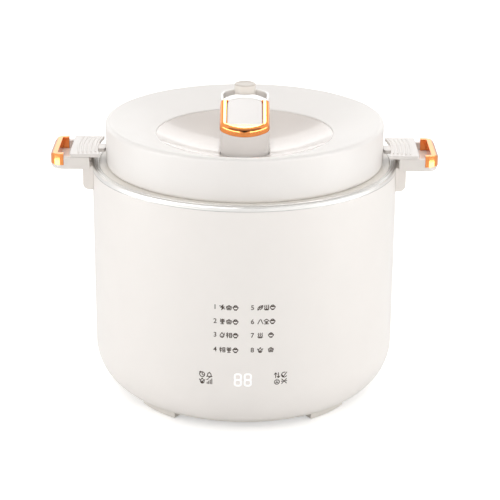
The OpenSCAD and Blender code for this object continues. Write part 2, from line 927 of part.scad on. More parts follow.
// Metal end: it wraps the handle's outer end and faces the latch's pocket
module end_cap() {
    top = cap_z + cap_h;
    color(rose_gold) {
        difference() {
            intersection() {
                translate([0, 0, cap_z]) linear_extrude(cap_h) handle_plan(0.3, cap_x);
                translate([cap_x, -far / 2, cap_z]) cube([far, far, far]);
            }
            translate([cap_x - 1, -pocket_hw, cap_z - 1])
                cube([1 + cap_len - cap_wall, 2 * pocket_hw, far]);
            cap_chamfer(top);
        }
        for (s = [-1, 1]) post(cap_x + 2.6, s * (handle_hw - 2.1), 1, cap_z - 3, cap_z + eps);
    }
}

// Sloping cut along the end cap's outer top edge
module cap_chamfer(top) {
    fall = 1.8;
    translate([handle_end - fall, -far / 2, top]) rotate([0, 45, 0]) cube([fall * 3, far, fall * 3]);
}

module end_cap_right() {
    end_cap();
}

module end_cap_left() {
    on_side(true) end_cap();
}

module handle_screws() {
    seat = sqrt(shell_in * shell_in - pow(screw_y + head_r, 2)) - 0.3;
    color(steel) for (left = [false, true]) on_side(left) for (y = [-screw_y, screw_y])
        translate([0, y, screw_z]) rotate([0, 90, 0]) {
            translate([0, 0, seat - head_t]) cylinder(r = head_r, h = head_t, $fn = 32);
            translate([0, 0, seat - eps])
                cylinder(r = screw_r, h = body_r + bracket_t - 2.5 - seat, $fn = 32);
        }
}

// Ribbed plate that the thumb moves, its inner edge and ribs round the body's axis
module thumb_plate() {
    rib_r = 0.9;
    half = asin((handle_hw - 4.4) / (thumb_r + 10));
    color(ivory_dark) {
        difference() {
            translate([0, 0, thumb_z]) linear_extrude(thumb_t) difference() {
                translate([thumb_r - 12, -handle_hw]) thumb_outline();
                circle(r = thumb_r);
            }
            translate([0, -bolt_hw - touch, thumb_z - 1])
                cube([bolt_end + touch, 2 * bolt_hw + 2 * touch, 1 + bolt_inset]);
        }
        for (i = [0:rib_n - 1])
            rotate_extrude(angle = 2 * half, start = -half)
                translate([thumb_r + 2.2 + rib_pitch * i, thumb_z + thumb_t - 0.25]) rib_section(rib_r);
        for (s = [-1, 1]) translate([lug_x, s * (pocket_hw - 3) - 2, thumb_z - 3])
            cube([3.4, 4, 3 + eps]);
    }
}

module thumb_outline() {
    r = 1.6;
    w = thumb_x - thumb_r + 12;
    square([w - r, 2 * handle_hw]);
    translate([0, r]) square([w, 2 * handle_hw - 2 * r]);
    for (y = [r, 2 * handle_hw - r]) translate([w - r, y]) circle(r = r, $fn = 32);
}

// Low round-topped rib, its foot sunk into the plate
module rib_section(r) {
    intersection() {
        circle(r = r, $fn = 32);
        translate([-r, 0]) square([2 * r, r]);
    }
}

module thumb_plate_right() {
    thumb_plate();
}

module thumb_plate_left() {
    on_side(true) thumb_plate();
}

// Flat bolt in the groove under the thumb plate, with a rounded tip
module bolt() {
    tip = 2;
    color(ivory_dark) intersection() {
        translate([bolt_tip, -bolt_hw, bolt_z]) cube([bolt_end - bolt_tip, 2 * bolt_hw, bolt_t]);
        translate([0, 0, bolt_z]) linear_extrude(bolt_t) {
            translate([bolt_tip + tip, -bolt_hw]) square([far, 2 * bolt_hw]);
            translate([bolt_tip, tip - bolt_hw]) square([tip + eps, 2 * bolt_hw - 2 * tip]);
            for (s = [-1, 1]) translate([bolt_tip + tip, s * (bolt_hw - tip)]) circle(r = tip, $fn = 32);
        }
    }
}

module bolt_right() {
    bolt();
}

module bolt_left() {
    on_side(true) bolt();
}

// ---------------------------------------------------------------- pot

module inner_pot() {
    bead = 0.9;
    color(pot_grey) rotate_extrude() {
        difference() {
            union() {
                cup_section(pot_r, plate_z, flange_z, pot_round);
                translate([pot_r - 1, flange_z - flange_t]) square([flange_w + 1 - bead, flange_t]);
            }
            cup_section(pot_r - pot_wall, plate_z + pot_wall, far, pot_round - pot_wall);
        }
        translate([flange_r - bead, flange_z - bead]) circle(r = bead, $fn = 32);
    }
}

// ---------------------------------------------------------------- lid

// Outline of the knob from above: a bowed front with blended corners and a round back
module knob_plan(grow) {
    r = knob_corner + grow;
    hw = knob_hw + grow;
    corner_x = knob_hw - knob_corner;
    corner_y = bow_y - sqrt(pow(knob_bow - knob_corner, 2) - corner_x * corner_x);
    blend_x = corner_x * (knob_bow + grow) / (knob_bow - knob_corner);
    translate([-hw, corner_y]) square([2 * hw, knob_back - corner_y]);
    translate([0, knob_back]) circle(r = hw);
    for (s = [-1, 1]) translate([s * corner_x, corner_y]) circle(r = r);
    intersection() {
        translate([0, bow_y]) circle(r = knob_bow + grow);
        translate([-blend_x, -far]) square([2 * blend_x, far + corner_y]);
    }
}

// Outline of the pad's opening: straight sides, a bowed front and an arched back
module pad_plan(shrink) {
    hw = knob_hw - trim_w - shrink;
    front = knob_front - trim_front - shrink;
    intersection() {
        translate([-hw, -far]) square([2 * hw, 2 * far]);
        translate([0, knob_bow - front]) circle(r = knob_bow);
        translate([0, pad_y - arch_bow]) circle(r = arch_bow - shrink);
    }
}

// Everything below the knob's sloping top, lowered by drop, seen from the side
module under_slope(drop, high) {
    y0 = -far / 2;
    y1 = (high + drop - slope_z) / slope_k;
    polygon([[y0, 0], [y0, slope_z + slope_k * y0 - drop], [y1, high], [far, high], [far, 0]]);
}

module lid_cover() {
    color(ivory) difference() {
        union() {
            rotate_extrude() difference() {
                cover_outer();
                cover_inner();
            }
            intersection() {
                for (a = [45:90:315]) rotate([0, 0, a]) post(boss_ring, 0, boss_r, deck_z + touch, far);
                rotate_extrude() cover_outer();
            }
        }
        for (left = [false, true]) on_side(left) bolt_slot(1, lid_r - 8);
        for (a = [45:90:315]) rotate([0, 0, a])
            post(boss_ring, 0, screw_r + 0.02, deck_z, lip_z + deck_t + 12);
    }
}

// Section of the cover's outside, filled to the axis
module cover_outer() {
    difference() {
        union() {
            translate([0, seat_z]) square([seat_r, lid_edge + eps]);
            translate([0, seat_z + lid_edge]) square([lid_r, lid_h - lid_edge - lid_crest]);
            translate([0, crest_z - lid_crest - eps]) square([crest_r, lid_crest + eps]);
            translate([seat_r, seat_z + lid_edge]) circle(r = lid_edge);
            translate([crest_r, crest_z - lid_crest]) circle(r = lid_crest);
        }
        polygon([
            [-1, crest_z + 1],
            [crest_r, crest_z + 1],
            [crest_r, crest_z],
            [dish_r, dish_z],
            [dish_r, dish_z - ledge_drop],
            [dish_r - ledge_w, dish_z - ledge_drop],
            [dish_r - ledge_w, 0],
            [-1, 0]
        ]);
        rim_corner();
    }
}

// What the rounding takes off the lid's edge round the dish
module rim_corner() {
    x = dish_r + rim_round;
    z = dish_z + rim_round * tan(lid_fall) - rim_round / cos(lid_fall);
    difference() {
        polygon([
            [x - rim_round * sin(lid_fall), z + rim_round * cos(lid_fall)],
            [x, z],
            [dish_r - eps, z],
            [dish_r - eps, dish_z + eps]
        ]);
        translate([x, z]) circle(r = rim_round);
    }
}

// Section of the cover's inside
module cover_inner() {
    roof = lid_wall / cos(lid_fall);
    inner = lid_r - lid_wall;
    corner = lid_crest + 1;
    polygon([
        [dish_r + lid_wall, lip_z],
        [inner, lip_z],
        [inner, crest_z - corner - roof + 1],
        [inner - corner, crest_z - roof - 0.4],
        [dish_r + lid_wall, dish_z - roof + lid_wall * tan(lid_fall)]
    ]);
    polygon([
        [dish_r - ledge_w - 1, lip_z],
        [dish_r + lid_wall + eps, lip_z],
        [dish_r + lid_wall + eps, dish_z - ledge_drop - lid_wall],
        [dish_r - ledge_w - 1, dish_z - ledge_drop - lid_wall]
    ]);
    translate([0, -1]) square([mouth_r - 0.6, lip_z + 1 + eps]);
    translate([0, lip_z]) square([dish_r - ledge_w, far]);
}

// Slot that a latch's bolt enters
module bolt_slot(room, from) {
    translate([from, -bolt_hw - room, bolt_z - slot_play])
        cube([20, 2 * bolt_hw + 2 * room, bolt_t + 2 * slot_play]);
}

// Shallow bowl in the lid's top, open round the knob
module dish_panel() {
    centre = dish_low + dish_ball;
    color(ivory) difference() {
        rotate_extrude() {
            intersection() {
                difference() {
                    translate([0, centre]) circle(r = dish_ball + dish_t, $fn = 180);
                    translate([0, centre]) circle(r = dish_ball, $fn = 180);
                }
                translate([12, dish_low - dish_t - 1]) square([dish_edge - 12, dish_sag + dish_t + 4]);
            }
            translate([dish_edge - ledge_w + 0.5, dish_z - ledge_drop])
                square([ledge_w - 0.5, ledge_drop - rim_drop - 1.5]);
        }
        translate([0, 0, dish_low - 10]) linear_extrude(40) knob_plan(fit);
    }
}

// Moulded frame inside the lid: it closes the cover from below and carries everything under it
module lid_frame() {
    color(ivory_dark) difference() {
        union() {
            translate([0, 0, deck_low]) cylinder(r = mouth_r - 1, h = deck_t);
            ring(frame_r, mouth_r - 8, lip_z, lip_z + deck_t);
            ring(mouth_r - 1, mouth_r - 8, deck_z - eps, lip_z + eps);
            for (a = [0:30:330]) rotate([0, 0, a])
                translate([rib_from, -0.8, deck_z - eps]) cube([mouth_r - 6 - rib_from, 1.6, 2.4]);
            translate([0, 0, deck_z - eps]) linear_extrude(frame_pad - deck_z + eps) knob_plan(-1);
            post(0, 0, stud_r, plate_low - 1.6, deck_low + eps);
            post(0, 0, stud_r + 1.2, plate_low - 3.2, plate_low - 1.6 + eps);
        }
        post(0, valve_y, pipe_r + run, 0, far);
        post(float_x, float_y, float_r + air, 0, far);
        for (p = knob_screws) post(p[0], p[1], screw_r + 0.3, deck_low - 1, far);
        for (p = knob_screws) post(p[0], p[1], head_r + 0.3, deck_low - 1, deck_low + head_t + touch);
        for (a = [45:90:315]) rotate([0, 0, a]) {
            post(boss_ring, 0, screw_r + 0.3, deck_low - 1, far);
            post(boss_ring, 0, head_r + 0.3, deck_low - 1, deck_low + head_t + touch);
        }
    }
}

// Steel strips behind the lid's wall that the bolts lock into
module lid_keepers() {
    outer = lid_r - lid_wall - touch;
    half = asin((bolt_hw + 5) / outer);
    color(steel) for (left = [false, true]) on_side(left) difference() {
        rotate_extrude(angle = 2 * half, start = -half)
            translate([outer - keeper_t, lip_z + deck_t + fit])
                square([keeper_t, bolt_z + bolt_t + slot_play + 2 - lip_z - deck_t]);
        bolt_slot(0.8, lid_r - 12);
    }
}

module inner_plate() {
    color(steel) difference() {
        union() {
            translate([0, 0, plate_low]) cylinder(r = flange_r - 3.6, h = plate_top - plate_low);
            ring(60, 56, plate_low - 1, plate_low + eps);
        }
        post(0, 0, stud_r + 1.6, 0, far);
        post(0, valve_y, pipe_r + run, 0, far);
        post(float_x, float_y, float_r + air, 0, far);
    }
}

// Seal round the inner plate: its lips press on the pot's flange
module seal_ring() {
    outer = flange_r - 0.3;
    inner = outer - 5.2;
    color(silicone) rotate_extrude() difference() {
        union() {
            translate([inner, flange_z + 0.8]) square([outer - inner, deck_low - flange_z - 0.8]);
            translate([inner + 0.8, flange_z]) square([1.3, 1]);
            translate([outer - 1.9, flange_z]) square([1.3, 1]);
        }
        translate([0, plate_low - 0.05]) square([flange_r - 3.5, plate_top - plate_low + 0.1]);
    }
}

module plate_grommet() {
    color(silicone) rotate_extrude() difference() {
        union() {
            translate([stud_r + 0.02, plate_low - 1.5]) square([3.6, plate_top - plate_low + 2.8]);
        }
        translate([stud_r + 1.55, plate_low - 0.05]) square([9, plate_top - plate_low + 0.1]);
    }
}

module lid_screws() {
    color(steel) {
        for (a = [45:90:315]) rotate([0, 0, a]) {
            post(boss_ring, 0, head_r, deck_low, deck_low + head_t);
            post(boss_ring, 0, screw_r, deck_low + head_t - eps, lip_z + deck_t + 10);
        }
        for (p = knob_screws) {
            post(p[0], p[1], head_r, deck_low, deck_low + head_t);
            post(p[0], p[1], screw_r, deck_low + head_t - eps, knob_z + 5);
        }
    }
}

// Foot of the knob: it stands on the frame and passes through the dish
module knob_plinth() {
    color(ivory_dark) difference() {
        translate([0, 0, frame_pad]) linear_extrude(knob_z - frame_pad) knob_plan(-0.4);
        post(0, valve_y, pipe_r + run, 0, far);
        post(float_x, float_y, float_r + air, 0, far);
        for (p = knob_screws) post(p[0], p[1], screw_r + 0.3, 0, far);
    }
}

module knob_body() {
    color(ivory) difference() {
        union() {
            difference() {
                intersection() {
                    translate([0, 0, knob_z]) linear_extrude(far) knob_plan(0);
                    across(far) under_slope(0, knob_top);
                }
                knob_cavity();
            }
            cheeks();
            post(0, -plunger_y, spring_r + 2.4, shelf_z, spring_z + 7);
            for (p = knob_screws) post(p[0], p[1], 3.2, knob_z, knob_z + 7);
            knob_ties();
        }
        trim_seat();
        pad_chamber();
        steam_well();
        post(0, -plunger_y, plunger_r + run, knob_z, far);
        post(0, -plunger_y, spring_r + 1.2, spring_z, far);
        post(0, valve_y, cap_r + 0.6, cavity_z - 1, far);
        post(float_x, float_y, float_r + air, cavity_z - 1, far);
        for (p = knob_screws) post(p[0], p[1], screw_r + 0.02, knob_z - 1, knob_z + 5.5);
    }
}

// Hollow column, open below, its roof under the pad's chamber and the steam well
module knob_cavity() {
    roof = chamber + chamber_floor;
    intersection() {
        translate([0, 0, knob_z - 1]) linear_extrude(far) knob_plan(-knob_wall);
        across(far) under_slope(roof, cavity_z);
    }
}

// Two ears under the roof that hold the lever's pin
module cheeks() {
    for (s = [-1, 1]) difference() {
        translate([s * (hub_hw + fit + cheek_t / 2) - cheek_t / 2, pivot_y - 4, pivot_z - 4])
            cube([cheek_t, 8, cavity_z - pivot_z + 4 + eps]);
        translate([0, pivot_y, pivot_z]) rotate([0, 90, 0])
            cylinder(r = pin_r, h = 60, center = true, $fn = 48);
    }
}

// Webs that tie the screw posts to the knob's walls
module knob_ties() {
    for (s = [-1, 1]) translate([s * (knob_hw - knob_wall / 2) - (s > 0 ? 5 : 0), -0.8, knob_z])
        cube([5, 1.6, 6]);
    translate([-0.8, -knob_front + knob_wall / 2, knob_z]) cube([1.6, 5, 6]);
}

module trim_seat() {
    intersection() {
        difference() {
            translate([0, 0, knob_z]) linear_extrude(far) difference() {
                knob_plan(5);
                pad_plan(0);
            }
            across(far) under_slope(trim_h, far);
        }
        translate([-far / 2, -far, 0]) cube([far, far + trim_end, far]);
    }
}

module pad_chamber() {
    difference() {
        translate([0, 0, knob_z]) linear_extrude(far) pad_plan(0);
        across(far) under_slope(chamber, far);
    }
}

// Well behind the pad, in which the steam valve's cap stands
module steam_well() {
    translate([0, 0, well_z]) linear_extrude(far) difference() {
        knob_plan(-well_wall);
        translate([0, arch_y - arch_bow]) circle(r = arch_bow);
    }
}

// Rose-gold band round the pad's front and sides
module knob_trim() {
    color(rose_gold) intersection() {
        difference() {
            translate([0, 0, knob_z]) linear_extrude(far) difference() {
                knob_plan(trim_proud);
                pad_plan(0);
            }
            across(far) under_slope(trim_h - touch / 2, far);
        }
        across(far) under_slope(-trim_proud, far);
        translate([-far / 2, -far, 0]) cube([far, far + trim_end - touch, far]);
    }
}

module lever_pin() {
    color(steel) translate([0, pivot_y, pivot_z]) rotate([0, 90, 0])
        cylinder(r = pin_r, h = 2 * (hub_hw + fit + cheek_t), center = true, $fn = 48);
}

// Pipe from the pot to the valve's seat
module steam_pipe() {
    color(steel) difference() {
        union() {
            post(0, valve_y, pipe_r, pipe_low, pipe_top - 2);
            translate([0, valve_y, pipe_top - 2 - eps])
                cylinder(r1 = pipe_r, r2 = steam_r + 0.7, h = 2, $fn = 48);
            post(0, valve_y, pipe_r + 2.4, plate_top, deck_low);
        }
        post(0, valve_y, steam_r, 0, far);
    }
}

// Slotted cage that keeps food out of the pipe
module steam_filter() {
    r = pipe_r + 2.6;
    low = pipe_low - 5.4;
    color(steel) difference() {
        union() {
            post(0, valve_y, r, low, pipe_low - touch);
            post(0, valve_y, r, pipe_low - touch - eps, plate_low - touch);
        }
        post(0, valve_y, pipe_r + 0.05, pipe_low - touch - 0.01, far);
        post(0, valve_y, r - 1, low + 1, pipe_low - touch - 1);
        for (a = [0:30:150]) translate([0, valve_y, low + 1.4]) rotate([0, 0, a])
            translate([-r - 1, -0.6, 0]) cube([2 * r + 2, 1.2, 2.6]);
        post(0, valve_y, steam_r, low + 1, far);
    }
}

// ---------------------------------------------------------------- release train

module knob_pad() {
    guide = 1.2;
    color(ivory) {
        difference() {
            intersection() {
                translate([0, 0, knob_z]) linear_extrude(far) pad_plan(air);
                across(far) under_slope(-0.1, far);
            }
            across(far) under_slope(pad_t, far);
        }
        difference() {
            post(0, -plunger_y, plunger_r, collar_low, plunger_top);
            translate([0, -plunger_y, 0]) ring(plunger_r + 1, plunger_r - 0.5, clip_z, clip_z + clip_t);
        }
        intersection() {
            post(0, -plunger_y, spring_r + guide - 0.3, spring_top, plunger_top + 4);
            across(far) under_slope(pad_t - eps, far);
        }
    }
}

module pad_spring() {
    color(steel) translate([0, -plunger_y, 0]) coil(spring_r, 0.25, spring_z, spring_top, 4);
}

// Ring in the plunger's groove that stops the pad under the spring's shelf
module pad_clip() {
    color(steel) difference() {
        post(0, -plunger_y, plunger_r + 1.5, clip_z, clip_z + clip_t);
        post(0, -plunger_y, plunger_r - 0.5, clip_z - 1, clip_z + 2);
    }
}

module release_lever() {
    bar = 1.5;
    color(steel) difference() {
        union() {
            x_rod(pivot_y, hub_r, 2 * hub_hw);
            x_rod(pivot_y - arm, nose_r, 6);
            translate([-3, pivot_y - arm, pivot_z - bar]) cube([6, arm, bar + 0.3]);
            translate([-hub_hw, pivot_y, pivot_z - bar]) cube([2 * hub_hw, 6.5, bar + 0.3]);
            translate([-fork_out, pivot_y + 5.2, pivot_z - bar]) cube([2 * fork_out, 2.6, bar + 0.3]);
            for (s = [-1, 1]) translate([s * (fork_in + fork_out) / 2, 0, 0]) {
                translate([-1.2, pivot_y + 5.2, pivot_z - bar]) cube([2.4, arm - 5.2, bar + 0.3]);
                x_rod(valve_y, nose_r, 2.4);
            }
        }
        x_rod(pivot_y, pin_r + run, 40);
    }
}

// A rod along X at the lever's height
module x_rod(y, r, length) {
    translate([0, y, pivot_z]) rotate([0, 90, 0]) cylinder(r = r, h = length, center = true, $fn = 48);
}

// Weighted cap: a rounded top, a skirt over the pipe and a lower face that the fork lifts
module valve_cap() {
    bore = pipe_r + 0.5;
    color(ivory_dark) translate([0, valve_y, 0]) rotate_extrude() difference() {
        union() {
            translate([0, cavity_z + 5]) square([cap_r, cap_rim - cap_edge - cavity_z - 5]);
            translate([0, cap_rim - cap_edge - eps]) square([cap_r - cap_edge, cap_edge + eps]);
            translate([cap_r - cap_edge, cap_rim - cap_edge]) circle(r = cap_edge, $fn = 48);
            translate([0, collar_low]) square([skirt_r, cavity_z + 5 + eps - collar_low]);
        }
        translate([-far, 0]) square([far, far]);
        translate([0, 0]) square([bore, pipe_top]);
    }
}

module float_pin() {
    top = well_z + 2.4;
    color(silver) {
        post(float_x, float_y, float_r, float_low, top - 1);
        post(float_x, float_y, float_head, well_z, top);
        post(float_x, float_y, float_foot, float_low, float_low + 2);
    }
}

module float_gasket() {
    color(silicone) difference() {
        post(float_x, float_y, float_foot, float_low + 2, float_low + 3.5);
        post(float_x, float_y, float_r, float_low + 1, float_low + 5);
    }
}

outer_shell();
base_cover();
feet();
base_screws();
rim_ring();
collar();
liner();
heating_plate();
heating_tube();
sensor_bracket();
sensor_cap();
sensor_clip();
sensor_spring();
thermal_fuse();
liner_posts();
power_board();
board_parts();
display_board();
display_module();
display_holder();
touch_pads();
power_inlet();
inlet_pins();
handle_right();
handle_left();
end_cap_right();
end_cap_left();
handle_screws();
thumb_plate_right();
thumb_plate_left();
bolt_right();
bolt_left();
inner_pot();
lid_cover();
dish_panel();
lid_frame();
lid_keepers();
inner_plate();
seal_ring();
plate_grommet();
lid_screws();
knob_plinth();
knob_body();
knob_trim();
lever_pin();
steam_pipe();
steam_filter();
knob_pad();
pad_clip();
pad_spring();
release_lever();
valve_cap();
float_pin();
float_gasket();
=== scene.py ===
"""Looks of a round electric pressure cooker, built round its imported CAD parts.

Pieces are drawn in millimetres, in the frame of the CAD, and become metres when they are finished.
"""

from __future__ import annotations

import logging
import math
from collections.abc import Callable, Iterable, Sequence
from dataclasses import dataclass, replace
from enum import Enum

import bmesh
import bpy
from mathutils import Matrix, Vector


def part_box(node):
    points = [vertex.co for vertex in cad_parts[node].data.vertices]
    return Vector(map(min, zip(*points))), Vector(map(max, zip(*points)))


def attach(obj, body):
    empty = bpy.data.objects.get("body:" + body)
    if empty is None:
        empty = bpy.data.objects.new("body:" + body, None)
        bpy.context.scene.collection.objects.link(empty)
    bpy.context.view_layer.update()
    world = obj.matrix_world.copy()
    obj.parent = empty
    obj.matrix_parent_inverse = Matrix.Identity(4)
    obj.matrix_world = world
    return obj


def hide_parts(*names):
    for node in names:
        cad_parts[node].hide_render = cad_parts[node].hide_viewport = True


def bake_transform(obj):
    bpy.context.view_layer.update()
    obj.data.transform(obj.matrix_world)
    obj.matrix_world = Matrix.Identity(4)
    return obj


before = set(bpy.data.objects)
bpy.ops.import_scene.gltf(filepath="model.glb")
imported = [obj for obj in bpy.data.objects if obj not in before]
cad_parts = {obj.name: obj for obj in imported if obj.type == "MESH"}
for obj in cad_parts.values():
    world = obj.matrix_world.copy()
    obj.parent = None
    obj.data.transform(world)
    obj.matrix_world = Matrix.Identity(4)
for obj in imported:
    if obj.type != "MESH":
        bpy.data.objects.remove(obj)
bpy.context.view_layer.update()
LOG = logging.getLogger("cooker")

MM = 0.001
TURN = 360.0
SAME_POINT = 1e-4
PLASTIC_IOR = 1.5
WAVES_PER_UNIT = 20

Colour = tuple[float, float, float]
Linear = tuple[float, float, float, float]
Point2 = tuple[float, float]
Point3 = tuple[float, float, float]
Stroke = tuple[Point2, ...]
Mesh = bmesh.types.BMesh
Node = bpy.types.Node
Socket = bpy.types.NodeSocket


# ---------------------------------------------------------------- materials


def linear(colour: Colour, light: float = 1.0) -> Linear:
    """Turn a colour as seen on a screen into the linear one that shaders use.

    Args:
        colour: Red, green and blue from 0 to 255.
        light: How much of its light is kept, from 0 to 1.

    Returns:
        Linear red, green, blue and full opacity.
    """

    def channel(value: float) -> float:
        """Undo the screen's standard curve for one channel."""
        share = value / 255
        return light * (share / 12.92 if share <= 0.04045 else ((share + 0.055) / 1.055) ** 2.4)

    red, green, blue = colour
    return channel(red), channel(green), channel(blue), 1.0


def darker(colour: Colour, share: float) -> Colour:
    """Bring a colour on a screen down to a share of its level."""
    red, green, blue = colour
    return red * share, green * share, blue * share


class Graph:
    """A node tree with short calls to add and join its nodes."""

    def __init__(self, tree: bpy.types.NodeTree) -> None:
        """Take a tree and empty it."""
        self.tree = tree
        self.tree.nodes.clear()

    def add(
        self,
        kind: str,
        settings: dict[str, object] | None = None,
        *values: object,
        **sockets: object,
    ) -> Node:
        """Add a node.

        Args:
            kind: The node's Blender type, after the word ShaderNode.
            settings: Its own properties, by name.
            *values: Values or outputs for its first inputs, in their order.
            **sockets: The same for inputs by name, with _ for a space.

        Returns:
            The new node.
        """
        node = self.tree.nodes.new("ShaderNode" + kind)
        for key, value in (settings or {}).items():
            setattr(node, key, value)
        for socket, value in zip(node.inputs, values):
            self.feed(socket, value)
        for key, value in sockets.items():
            self.feed(node.inputs[key.replace("_", " ")], value)
        return node

    def feed(self, socket: Socket, value: object) -> None:
        """Join an output to an input, or set the input to a constant.

        Args:
            socket: The input.
            value: The output, or the constant.
        """
        if isinstance(value, Socket):
            self.tree.links.new(value, socket)
        else:
            socket.default_value = value


class Surface(Graph):
    """A material's node tree, round one main shader."""

    def __init__(self, name: str) -> None:
        """Start a material whose tree holds only its output and its main shader.

        Args:
            name: The material's name.
        """
        self.material = bpy.data.materials.new(name)
        self.material.use_nodes = True
        super().__init__(self.material.node_tree)
        self.shader = self.add("BsdfPrincipled")
        self.output = self.add("OutputMaterial", Surface=self.shader.outputs[0])
        self.place = self.add("TexCoord").outputs["Object"]

    def set(self, **sockets: object) -> None:
        """Set or join the main shader's inputs, with _ for a space in their names."""
        for key, value in sockets.items():
            self.feed(self.shader.inputs[key.replace("_", " ")], value)

    def noise(self, size: float, detail: float = 3.0, stretch: Point3 = (1, 1, 1)) -> Socket:
        """Add a noise pattern.

        Args:
            size: Width of its patches in millimetres.
            detail: How many finer layers it has.
            stretch: How much finer it is along each axis.

        Returns:
            The pattern's value, from 0 to 1.
        """
        spread = self.add("Mapping", Vector=self.place, Scale=stretch).outputs[0]
        scale = 1 / (size * MM)
        return self.add("TexNoise", Vector=spread, Scale=scale, Detail=detail).outputs[0]

    def ramp(self, value: Socket, low: float, high: float, out: Point2 = (0, 1)) -> Socket:
        """Map a value from the range low to high onto the range out, and clamp it."""
        ends = {"From_Min": low, "From_Max": high, "To_Min": out[0], "To_Max": out[1]}
        return self.add("MapRange", {"clamp": True}, Value=value, **ends).outputs[0]

    def blend(self, share: Socket, first: object, second: object) -> Socket:
        """Mix two colours.

        Args:
            share: How much of the second one shows.
            first: The first colour, or an output that gives it.
            second: The second colour, or an output that gives it.

        Returns:
            The mixed colour.
        """
        first_colour, second_colour, mixed_colour = 6, 7, 2
        node = self.add("Mix", {"data_type": "RGBA"}, share)
        self.feed(node.inputs[first_colour], first)
        self.feed(node.inputs[second_colour], second)
        return node.outputs[mixed_colour]

    def lay_over(self, share: Socket, colour: Linear) -> None:
        """Lay a colour over the main shader's own, as thickly as the share says."""
        below = self.shader.inputs["Base Color"].links[0].from_socket
        self.set(Base_Color=self.blend(share, below, colour))

    def height(self) -> Socket:
        """How high up a point lies, in metres."""
        return self.add("SeparateXYZ", Vector=self.place).outputs["Z"]

    def glow(self, power: float) -> Socket:
        """Add a shader that glows white with the given strength."""
        return self.add("Emission", Strength=power).outputs[0]


@dataclass(frozen=True)
class Finish:
    """What every finish has: a colour and a roughness in soft patches, and a fine relief.

    Attributes:
        name: The material's name.
        colour: Its colour on a screen.
        roughness: Its roughness, from 0 to 1.
        variation: How much darker the darkest patches are, from 0 to 1.
        patch: Width of the patches in millimetres.
        depth: Height of the relief in millimetres.
        strength: How strongly the relief shows.
    """

    name: str
    colour: Colour
    roughness: float
    variation: float = 0.06
    patch: float = 8.0
    depth: float = 0.03
    strength: float = 0.5

    def shade(self, graph: Surface) -> None:
        """Fill in the material's nodes; each kind of finish does this its own way."""
        raise NotImplementedError

    def material(self) -> bpy.types.Material:
        """Make the material, or return it if it was made before.

        Returns:
            The material.
        """
        made = bpy.data.materials.get(self.name)
        if made is None:
            graph = Surface(self.name)
            self.shade(graph)
            made = graph.material
            made.diffuse_color = linear(self.colour)
        return made

    def tint(self, graph: Surface) -> None:
        """Vary the colour and the roughness a little in broad soft patches.

        Args:
            graph: The material's nodes.
        """
        patch_edges, smoothest, roughest = (0.3, 0.7), 0.9, 1.12
        patches = graph.ramp(graph.noise(self.patch), *patch_edges)
        tones = linear(self.colour), linear(self.colour, 1 - self.variation)
        span = (self.roughness * smoothest, min(1.0, self.roughness * roughest))
        graph.set(Base_Color=graph.blend(patches, *tones))
        graph.set(Roughness=graph.ramp(patches, 0, 1, span))

    def emboss(self, graph: Surface, pattern: Socket) -> None:
        """Give the main shader a pattern's relief.

        Args:
            graph: The material's nodes.
            pattern: The pattern's value.
        """
        distance = self.depth * MM
        bump = graph.add("Bump", Height=pattern, Distance=distance, Strength=self.strength)
        graph.set(Normal=bump.outputs[0])


@dataclass(frozen=True)
class MouldedPlastic(Finish):
    """Injection-moulded plastic with a fine even grain under a thin gloss."""

    variation: float = 0.014
    patch: float = 26.0
    depth: float = 0.004
    grain: float = 0.35
    gloss: float = 0.25
    gloss_roughness: float = 0.12
    gloss_ior: float = 1.46

    def shade(self, graph: Surface) -> None:
        """Add soft patches, a moulded grain and a coat.

        Args:
            graph: The material's nodes.
        """
        self.tint(graph)
        graph.set(IOR=PLASTIC_IOR, Coat_IOR=self.gloss_ior)
        graph.set(Coat_Weight=self.gloss, Coat_Roughness=self.gloss_roughness)
        self.emboss(graph, graph.noise(self.grain, 2))


@dataclass(frozen=True)
class TwoTonePlastic(MouldedPlastic):
    """Moulded plastic whose colour turns darker above a level, over its crown."""

    crown: Colour = (212, 203, 193)
    crown_level: float = 242.6
    crown_blend: float = 0.3

    def shade(self, graph: Surface) -> None:
        """Blend the crown's tone in above its level.

        Args:
            graph: The material's nodes.
        """
        # Darker above the crown level; this only sets where the colour changes.
        super().shade(graph)
        low, high = self.crown_level - self.crown_blend, self.crown_level + self.crown_blend
        share = graph.ramp(graph.height(), low * MM, high * MM)
        graph.lay_over(share, linear(self.crown))


@dataclass(frozen=True)
class Metal(Finish):
    """Metal with fine marks, drawn out along its lines."""

    marks: float = 3.0
    lines: Point3 = (1, 1, 1)
    anisotropy: float = 0.0

    def shade(self, graph: Surface) -> None:
        """Add a metal surface with its marks.

        Args:
            graph: The material's nodes.
        """
        self.tint(graph)
        graph.set(Metallic=1.0, Anisotropic=self.anisotropy)
        self.emboss(graph, self.pattern(graph))

    def pattern(self, graph: Surface) -> Socket:
        """Add the pattern of the marks."""
        return graph.noise(self.marks, 4, self.lines)


@dataclass(frozen=True)
class PlatedMetal(Metal):
    """Bright metal plating with a faint ripple and fine rubbing marks."""

    variation: float = 0.04
    patch: float = 9.0
    depth: float = 0.01
    strength: float = 0.35
    marks: float = 5.0
    lines: Point3 = (1, 1, 3)


